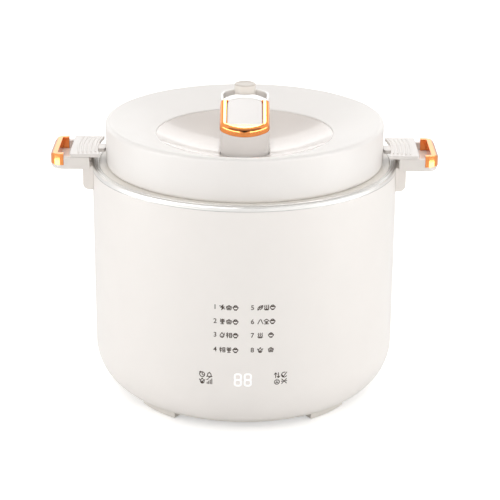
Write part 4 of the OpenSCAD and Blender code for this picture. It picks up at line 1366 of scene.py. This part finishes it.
    def build_cap(self) -> None:
        """Turn the steam valve's cap, its crown a little hollow inside a narrow rim."""
        under, smooth = 0.01, 25.0
        shoulder = self.cap_top - self.cap_round
        pen = Outline((0, self.cap_low))
        pen.line((self.cap_radius, self.cap_low), (self.cap_radius, shoulder))
        pen.arc((self.cap_radius - self.cap_round, shoulder), 90, 5)
        pen.line(*((self.cap_radius - inside, self.cap_top - low) for inside, low in self.cap_rim))
        pen.line((0, self.cap_top - self.cap_hollow))
        crown = moved(pen.lathe(96), (0, self.cap_place, 0))
        below = cut(copy_of("valve_cap"), (0, 0, self.cap_low - under), (0, 0, 1))
        whole, node = join_meshes(crown, below), ["valve_cap"]
        finished(whole, "steam_cap", VALVE, Body.VALVE, node, smooth=smooth)


# ---------------------------------------------------------------- print


def bow(centre: Point2, radius: float, start: float, end: float, steps: int = 8) -> Stroke:
    """Points along an arc.

    Args:
        centre: Its centre.
        radius: Its radius.
        start: The angle where it starts, in degrees.
        end: The angle where it ends.
        steps: How many runs it has.

    Returns:
        The points, from start to end.
    """
    across, up = centre
    turns = (math.radians(start + (end - start) * step / steps) for step in range(steps + 1))
    return tuple((across + radius * math.cos(t), up + radius * math.sin(t)) for t in turns)


class Sign(Enum):
    """Plain signs, each a few strokes in a square ten units wide."""

    BOWL = (
        ((0.2, 6.0), (9.8, 6.0)),
        bow((5, 6), 4.8, 180, 360),
        bow((5, 6), 3.4, 15, 165),
        ((3.0, 0.2), (7.0, 0.2)),
        ((3.4, 7.2), (6.6, 7.2)),
    )
    POT = (
        ((0.4, 7.0), (9.6, 7.0)),
        ((1.4, 7.0), (1.4, 0.8), (8.6, 0.8), (8.6, 7.0)),
        bow((5, 7), 2.2, 0, 180, 6),
        ((0.0, 4.6), (1.4, 4.6)),
        ((8.6, 4.6), (10.0, 4.6)),
        ((3.2, 4.6), (6.8, 4.6)),
        ((3.2, 2.8), (6.8, 2.8)),
    )
    GRAIN = (
        ((5.0, 0.0), (5.0, 10.0)),
        ((1.2, 5.2), (5.0, 2.4), (8.8, 5.2)),
        ((1.2, 7.6), (5.0, 4.8), (8.8, 7.6)),
        ((1.8, 9.8), (5.0, 7.2), (8.2, 9.8)),
        ((2.4, 0.4), (7.6, 0.4)),
    )
    STALKS = (
        ((2.0, 0.0), (2.0, 10.0)),
        ((0.0, 8.0), (2.0, 6.2), (4.0, 8.0)),
        ((0.0, 4.6), (2.0, 2.8), (4.0, 4.6)),
        ((6.0, 9.2), (6.0, 0.8), (10.0, 0.8), (10.0, 9.2), (6.0, 9.2)),
        ((6.0, 6.4), (10.0, 6.4)),
        ((6.0, 3.6), (10.0, 3.6)),
    )
    FAST = (
        ((6.4, 10.0), (2.0, 4.6), (5.6, 5.4), (3.6, 0.0), (8.6, 6.2), (5.2, 5.6), (6.4, 10.0)),
        ((0.0, 7.6), (2.6, 7.6)),
        ((7.6, 2.2), (10.0, 2.2)),
    )
    DROP = (
        (*bow((4.4, 3.8), 3.6, 40, -220, 10), (4.4, 10.0), (7.1, 6.1)),
        ((8.6, 9.0), (8.6, 5.2)),
        bow((4.4, 3.8), 1.6, -150, -20, 4),
    )
    LEAF = (
        (*bow((7.6, 1.2), 7.6, 178, 96, 6), *bow((2.0, 8.2), 7.4, 8, -74, 6)),
        ((0.4, 0.2), (8.0, 8.0)),
        ((3.4, 3.2), (3.4, 6.4)),
        ((5.4, 5.2), (8.0, 4.6)),
    )
    STEAM = (
        ((1.2, 3.4), (2.4, 5.2), (1.0, 7.4), (2.2, 9.6)),
        ((4.6, 3.4), (5.8, 5.2), (4.4, 7.4), (5.6, 9.6)),
        ((8.0, 3.4), (9.2, 5.2), (7.8, 7.4), (9.0, 9.6)),
        ((0.4, 1.8), (9.6, 1.8)),
        ((2.0, 0.2), (8.0, 0.2)),
    )
    PEAK = (((0.4, 1.0), (4.2, 9.0)), ((5.8, 9.6), (9.8, 0.8)))
    ROOF = (
        ((0.2, 6.4), (5.0, 9.8), (9.8, 6.4)),
        ((2.0, 5.0), (8.0, 5.0)),
        ((2.6, 2.8), (7.4, 2.8)),
        ((5.0, 5.0), (5.0, 0.4)),
        ((1.2, 0.4), (8.8, 0.4)),
    )
    FLAME = (
        (
            *((5.2, 10.0), (2.6, 6.6), (1.6, 3.6), (2.8, 0.8), (5.0, 0.0)),
            *((7.4, 0.8), (8.6, 3.4), (7.4, 6.2), (5.2, 10.0)),
        ),
        ((5.0, 4.6), (3.8, 2.6), (5.0, 1.4), (6.2, 2.6), (5.0, 4.6)),
        ((0.0, 7.6), (0.8, 6.0)),
        ((10.0, 7.6), (9.2, 6.0)),
    )
    CLOCK = (
        bow((5, 5), 4.6, 0, 360, 14),
        ((5.0, 8.0), (5.0, 5.0), (7.4, 3.8)),
        ((2.0, 10.2), (0.2, 8.6)),
    )
    BELL = (
        (*bow((5, 6), 3.0, 0, 180, 6), (1.6, 2.0), (8.4, 2.0), (8.0, 6.0)),
        ((0.2, 2.0), (9.8, 2.0)),
        ((3.8, 0.2), (6.2, 0.2)),
        ((5.0, 9.0), (5.0, 10.0)),
    )
    LEVELS = (
        ((1.0, 0.4), (1.0, 3.0)),
        ((3.8, 0.4), (3.8, 5.4)),
        ((6.6, 0.4), (6.6, 7.8)),
        ((9.4, 0.4), (9.4, 10.0)),
        ((0.2, 7.8), (3.4, 9.8)),
    )
    TICK = (((0.6, 5.2), (3.8, 1.6), (9.6, 9.4)), bow((5, 5), 4.8, 70, 330, 12))
    ARROWS = (
        ((2.6, 0.4), (2.6, 9.6)),
        ((0.2, 7.0), (2.6, 9.8), (5.0, 7.0)),
        ((7.6, 9.6), (7.6, 0.4)),
        ((5.2, 3.0), (7.6, 0.2), (10.0, 3.0)),
    )
    CROSS = (
        ((0.8, 0.8), (9.2, 9.2)),
        ((0.8, 9.2), (9.2, 0.8)),
        ((0.2, 5.0), (2.2, 5.0)),
        ((7.8, 5.0), (9.8, 5.0)),
    )
    POWER = (bow((5, 4.6), 4.4, 120, 420, 12), ((5.0, 10.0), (5.0, 4.8)), ((3.2, 3.4), (6.8, 3.4)))


@dataclass
class Panel:
    """The print on the front: a list of numbered signs, and two keys with lit digits between."""

    radius: float = 120.0
    proud: float = 0.03
    rows: tuple[float, ...] = (111.2, 99.9, 88.9, 77.0)
    left_number: float = -21.0
    right_number: float = 7.0
    number_height: float = 5.3
    number_weight: float = 0.06
    left_signs: tuple[float, ...] = (-15.5, -10.5, -5.6)
    right_signs: tuple[float, ...] = (12.9, 17.5, 22.1)
    wide_signs: tuple[float, ...] = (12.9, 21.0)
    sign_size: float = 4.05
    stroke: float = 0.64
    key_places: tuple[float, float] = (-28.2, 28.8)
    key_level: float = 52.9
    key_pitch: Point2 = (5.6, 5.3)
    key_size: float = 4.3
    key_stroke: float = 0.7
    digit_places: tuple[float, float] = (-3.7, 3.8)
    digit_level: float = 52.7
    digit_size: Point2 = (4.8, 4.7)
    digit_stroke: float = 1.2
    digit_corner: float = 1.6
    bead_sides: int = 10
    bead_rings: int = 6

    def build(self) -> None:
        """Make the print and the digits."""
        self.print_list()
        self.print_keys()
        self.light_digits()

    def wrap(self, mesh: Mesh, thickness: float) -> Mesh:
        """Lay a flat relief on the round wall.

        Args:
            mesh: The relief, with X across, Z up and its thickness along Y.
            thickness: Half its own thickness, which becomes the height it stands proud.

        Returns:
            The relief, round the wall.
        """
        for vert in mesh.verts:
            reach = self.radius - vert.co.y / thickness * self.proud
            turn = vert.co.x / self.radius
            vert.co = Vector((reach * math.sin(turn), -reach * math.cos(turn), vert.co.z))
        return mesh

    def draw(self, lines: Iterable[Sequence[Point2]], width: float) -> Mesh:
        """Draw round-ended strokes as a flat relief.

        Args:
            lines: The strokes' points, across and up.
            width: How wide the strokes are.

        Returns:
            The relief.
        """
        mesh = bmesh.new()
        radius = width / 2
        bead = {"u_segments": self.bead_sides, "v_segments": self.bead_rings, "radius": radius}
        rod = {"cap_ends": False, "segments": self.bead_sides, "radius1": radius, "radius2": radius}
        for line in lines:
            spots = [Vector((across, 0, up)) for across, up in line]
            for spot in spots:
                bmesh.ops.create_uvsphere(mesh, matrix=Matrix.Translation(spot), **bead)
            for first, last in zip(spots, spots[1:]):
                run = last - first
                turned = run.to_track_quat("Z", "Y").to_matrix().to_4x4()
                place = Matrix.Translation((first + last) / 2) @ turned
                bmesh.ops.create_cone(mesh, matrix=place, depth=run.length, **rod)
        return mesh

    def sign(self, sign: Sign, centre: Point2, size: float, width: float) -> Mesh:
        """Make a sign as a flat relief.

        Args:
            sign: The sign.
            centre: Where its middle goes, across and up.
            size: Its height and width over the middles of its strokes.
            width: How wide its strokes are.

        Returns:
            The relief.
        """
        unit = size / 10
        across, up = centre[0], centre[1]
        lines = [
            [(across + (x - 5) * unit, up + (y - 5) * unit) for x, y in line] for line in sign.value
        ]
        return self.draw(lines, width)

    def number(self, value: int, centre: Point2) -> Mesh:
        """Make a number as a flat relief.

        Args:
            value: The number.
            centre: Where its middle goes, across and up.

        Returns:
            The relief.
        """
        text = bpy.data.curves.new("number", "FONT")
        text.body = str(value)
        text.size = self.number_height
        text.align_x = text.align_y = "CENTER"
        text.extrude = self.stroke / 2
        text.offset = self.number_weight
        mesh = baked(placed("number", text))
        upright = Matrix.Rotation(math.radians(90), 3, "X")
        bmesh.ops.rotate(mesh, matrix=upright, verts=mesh.verts[:])
        return moved(mesh, (centre[0], 0, centre[1]))

    def print_list(self) -> None:
        """Print the eight numbered rows."""
        left = (
            (Sign.FAST, Sign.POT, Sign.BOWL),
            (Sign.GRAIN, Sign.POT, Sign.BOWL),
            (Sign.DROP, Sign.STALKS, Sign.BOWL),
            (Sign.STALKS, Sign.GRAIN, Sign.BOWL),
        )
        right = (
            (Sign.LEAF, Sign.STEAM, Sign.BOWL),
            (Sign.PEAK, Sign.ROOF, Sign.BOWL),
            (Sign.STEAM, Sign.BOWL),
            (Sign.FLAME, Sign.POT),
        )
        parts = []
        for row, level in enumerate(self.rows):
            parts.append(self.number(row + 1, (self.left_number, level)))
            parts.append(self.number(row + 1 + len(left), (self.right_number, level)))
            wide = len(right[row]) == len(self.wide_signs)
            columns = (self.left_signs, self.wide_signs if wide else self.right_signs)
            for places, signs in zip(columns, (left[row], right[row]), strict=True):
                for across, sign in zip(places, signs, strict=True):
                    parts.append(self.sign(sign, (across, level), self.sign_size, self.stroke))
        whole = self.wrap(join_meshes(*parts), self.stroke / 2)
        finished(whole, "menu_print", INK, Body.HOUSING)

    def print_keys(self) -> None:
        """Print the signs of the two touch keys, four on each."""
        left = (Sign.CLOCK, Sign.BELL, Sign.FLAME, Sign.LEVELS)
        right = (Sign.ARROWS, Sign.TICK, Sign.POWER, Sign.CROSS)
        pitch_x, pitch_y = self.key_pitch
        keys = zip(("left", "right"), self.key_places, (left, right), strict=True)
        for word, key_x, signs in keys:
            parts = []
            for index, sign in enumerate(signs):
                column, row = index % 2 - 0.5, 0.5 - index // 2
                centre = (key_x + column * pitch_x, self.key_level + row * pitch_y)
                parts.append(self.sign(sign, centre, self.key_size, self.key_stroke))
            whole = self.wrap(join_meshes(*parts), self.key_stroke / 2)
            finished(whole, f"key_print_{word}", INK, Body.HOUSING)

    def loop(self, centre: Point2) -> list[Point2]:
        """Draw one of the two loops of a digit.

        Args:
            centre: Where its middle is, across and up.

        Returns:
            The closed loop's points.
        """
        wide, tall = (size / 2 - self.digit_corner for size in self.digit_size)
        points: list[Point2] = []
        for turn, side, up in ((0, 1, 1), (90, -1, 1), (180, -1, -1), (270, 1, -1)):
            corner = (centre[0] + side * wide, centre[1] + up * tall)
            points += bow(corner, self.digit_corner, turn, turn + 90, 4)
        return [*points, points[0]]

    def light_digits(self) -> None:
        """Make the two lit digits, two round-cornered loops each."""
        half = self.digit_size[1] / 2
        levels = (self.digit_level - half, self.digit_level + half)
        lines = [self.loop((across, level)) for across in self.digit_places for level in levels]
        whole = self.wrap(self.draw(lines, self.digit_stroke), self.digit_stroke / 2)
        finished(whole, "lit_digits", LIT, Body.HOUSING)


# ---------------------------------------------------------------- studio


@dataclass(frozen=True)
class Lamp:
    """A square soft box, in metres and watts."""

    name: str
    place: Point3
    size: float
    power: float

    def hang(self, aim: Point3) -> None:
        """Hang it, turned to face a point.

        Args:
            aim: The point.
        """
        data = bpy.data.lights.new(self.name, "AREA")
        data.size = self.size
        data.energy = self.power
        lamp = placed(self.name, data)
        lamp.location = self.place
        away = Vector(aim) - Vector(self.place)
        lamp.rotation_euler = away.to_track_quat("-Z", "Y").to_euler()


@dataclass(frozen=True)
class Card:
    """An upright card that glows and that only reflections show, in metres.

    Attributes:
        name: Its name.
        power: How strongly it glows.
        height: The heights of its lower and upper edges.
    """

    name: str
    power: float
    height: Point2

    def plan(self) -> Outline:
        """Draw its line in plan; each kind of card does this its own way."""
        raise NotImplementedError

    def widen(self) -> float:
        """How much wider it is at its upper edge."""
        return 1.0

    def stand(self) -> None:
        """Make it and stand it in the scene."""
        low, high = self.height
        mesh = self.plan().mesh
        made = bmesh.ops.extrude_edge_only(mesh, edges=mesh.edges[:])
        verts = only(bmesh.types.BMVert, made["geom"])
        bmesh.ops.translate(mesh, verts=verts, vec=(0, 0, high - low))
        bmesh.ops.scale(mesh, verts=verts, vec=(self.widen(), 1, 1))
        card = loose_object(moved(mesh, (0, 0, low)), self.name)
        graph = Surface(self.name)
        graph.feed(graph.output.inputs["Surface"], graph.glow(self.power))
        card.data.materials.append(graph.material)
        for sight in ("camera", "diffuse", "transmission", "volume_scatter", "shadow"):
            setattr(card, f"visible_{sight}", False)


@dataclass(frozen=True)
class FlatCard(Card):
    """A flat card across the view, from left to right at a depth."""

    left: float
    right: float
    depth: float
    flare: float = 1.0

    def plan(self) -> Outline:
        """Draw its straight line."""
        return Outline((self.left, self.depth), Plane.PLAN).line((self.right, self.depth))

    def widen(self) -> float:
        """How much wider it is at its upper edge."""
        return self.flare


@dataclass(frozen=True)
class BentCard(Card):
    """A card bent round a point on one side.

    Attributes:
        middle: The middle of its arc in plan.
        radius: The arc's radius.
        turn: Where it starts and ends, in degrees outward from straight ahead.
        side: 1 for the right side, -1 for the left.
    """

    middle: Point2
    radius: float
    turn: Point2
    side: int = 1

    def on_side(self, side: int) -> BentCard:
        """The card as it stands on the right side, 1, or the left, -1.

        Args:
            side: 1 for the right side, -1 for the left.

        Returns:
            The card.
        """
        across, depth = self.middle
        word = "right" if side > 0 else "left"
        return replace(self, name=f"{self.name}_{word}", middle=(side * across, depth), side=side)

    def plan(self) -> Outline:
        """Draw its arc.

        Returns:
            The arc as an outline.
        """
        start, end = self.turn
        lead = math.radians(start)
        across = self.middle[0] + self.side * self.radius * math.sin(lead)
        pen = Outline((across, self.middle[1] - self.radius * math.cos(lead)), Plane.PLAN)
        return pen.arc(self.middle, self.side * (end - start), 24)


@dataclass
class Studio:
    """Floor, backdrop, lamps, cards and camera, in metres."""

    target: Point3 = (0.0048, 0.0, 0.1131)
    distance: float = 1.4
    elevation: float = 20.1
    roll: float = 0.39
    lens: float = 125.06
    sensor: float = 36.0
    sky: Point2 = (0.54, 1.15)
    sky_turn: Point2 = (0.0, 0.95)
    floor_radius: float = 9.0
    floor_tone: float = 0.96
    floor_glow: float = 0.42
    floor_roughness: float = 0.9
    floor_sheen: float = 0.1
    aim: Point3 = (0.0, 0.0, 0.12)
    lamps: tuple[Lamp, ...] = (
        Lamp("lamp_top", (0.0, 0.52, 1.5), 0.36, 3.4),
        Lamp("lamp_front", (0.0, -1.5, 1.3), 0.7, 6.0),
        Lamp("lamp_left", (-1.4, -0.4, 0.12), 0.6, 6.7),
        Lamp("lamp_right", (1.4, -0.4, 0.12), 0.6, 6.8),
    )
    flat_cards: tuple[FlatCard, ...] = (
        FlatCard("black_card", 0.0, (0.2, 0.75), -0.02, 0.016, -0.57, flare=9.0),
        FlatCard("grey_card", 0.4, (0.56, 3.4), -1.2, 1.2, -1.2),
        FlatCard("white_card", 1.8, (0.62, 1.5), -2.5, 2.5, 2.0),
        FlatCard("bright_card", 1.2, (0.24, 0.6), -1.4, 1.4, 2.0),
    )
    bent_cards: tuple[BentCard, ...] = (
        BentCard("pale_card", 8.0, (0.235, 0.36), (0.0, 0.0), 0.58, (13.5, 66.0)),
        BentCard("low_card", 7.0, (0.1465, 0.1542), (0.145, -0.022), 0.14, (24.0, 82.0)),
    )

    def build(self) -> None:
        """Set the whole stage."""
        self.set_camera()
        self.set_world()
        self.lay_floor()
        for lamp in self.lamps:
            lamp.hang(self.aim)
        self.stand_cards()
        bpy.context.scene.view_settings.view_transform = "Standard"

    def set_camera(self) -> None:
        """Place the camera in front, a little above, with its small roll."""
        data = bpy.data.cameras.new("camera")
        data.sensor_width = self.sensor
        data.lens = self.lens
        camera = placed("camera", data)
        lift = math.radians(self.elevation)
        ahead = Vector((0, math.cos(lift), -math.sin(lift)))
        right = Vector((1, 0, 0))
        up = right.cross(ahead)
        turn = Matrix.Rotation(-math.radians(self.roll), 3, ahead)
        axes = Matrix((turn @ right, turn @ up, -ahead)).transposed()
        spot = Vector(self.target) - ahead * self.distance
        camera.matrix_world = Matrix.Translation(spot) @ axes.to_4x4()
        bpy.context.scene.camera = camera

    def set_world(self) -> None:
        """Light the room from behind more than from the front, and show it white."""
        world = bpy.data.worlds.new("room")
        world.use_nodes = True
        graph = Graph(world.node_tree)
        full_white = (1, 1, 1, 1)
        way = graph.add("TexCoord").outputs["Generated"]
        depth = graph.add("SeparateXYZ", Vector=way).outputs["Y"]
        settings = {"interpolation_type": "SMOOTHSTEP"}
        level = graph.add("MapRange", settings, depth, *self.sky_turn, *self.sky)
        light = graph.add("Background", Color=full_white, Strength=level.outputs[0])
        white = graph.add("Background", Color=full_white)
        path = graph.add("LightPath").outputs
        seen = path["Is Camera Ray"]
        for name in ("Is Glossy Ray", "Is Transmission Ray"):
            seen = graph.add("Math", {"operation": "MAXIMUM"}, seen, path[name]).outputs[0]
        mix = graph.add("MixShader", None, seen, light.outputs[0], white.outputs[0])
        graph.add("OutputWorld", Surface=mix.outputs[0])
        bpy.context.scene.world = world

    def lay_floor(self) -> None:
        """Lay the pale floor, a large disc that keeps the shadow and glows to the camera."""
        mesh = bmesh.new()
        bmesh.ops.create_circle(mesh, cap_ends=True, radius=self.floor_radius, segments=96)
        floor = loose_object(mesh, "floor")
        graph = Surface("floor")
        graph.set(Base_Color=(self.floor_tone,) * 3 + (1.0,), Roughness=self.floor_roughness)
        graph.set(Specular_IOR_Level=self.floor_sheen)
        plain = graph.shader.outputs[0]
        both = graph.add("AddShader", None, plain, graph.glow(self.floor_glow))
        seen = graph.add("LightPath").outputs["Is Camera Ray"]
        mix = graph.add("MixShader", None, seen, plain, both.outputs[0])
        graph.feed(graph.output.inputs["Surface"], mix.outputs[0])
        floor.data.materials.append(graph.material)

    def stand_cards(self) -> None:
        """Stand the cards: dark ones in front, pale ones beside and behind the object."""
        for card in self.flat_cards:
            card.stand()
        for side in (-1, 1):
            for card in self.bent_cards:
                card.on_side(side).stand()


def main() -> None:
    """Build the cooker sub-assembly by sub-assembly, then the studio."""
    logging.basicConfig(level=logging.INFO, format="%(message)s")
    Shell().build()
    for right in (True, False):
        Side(right).build()
    Lid().build()
    Knob().build()
    Panel().build()
    Studio().build()


if __name__ == "__main__":
    main()
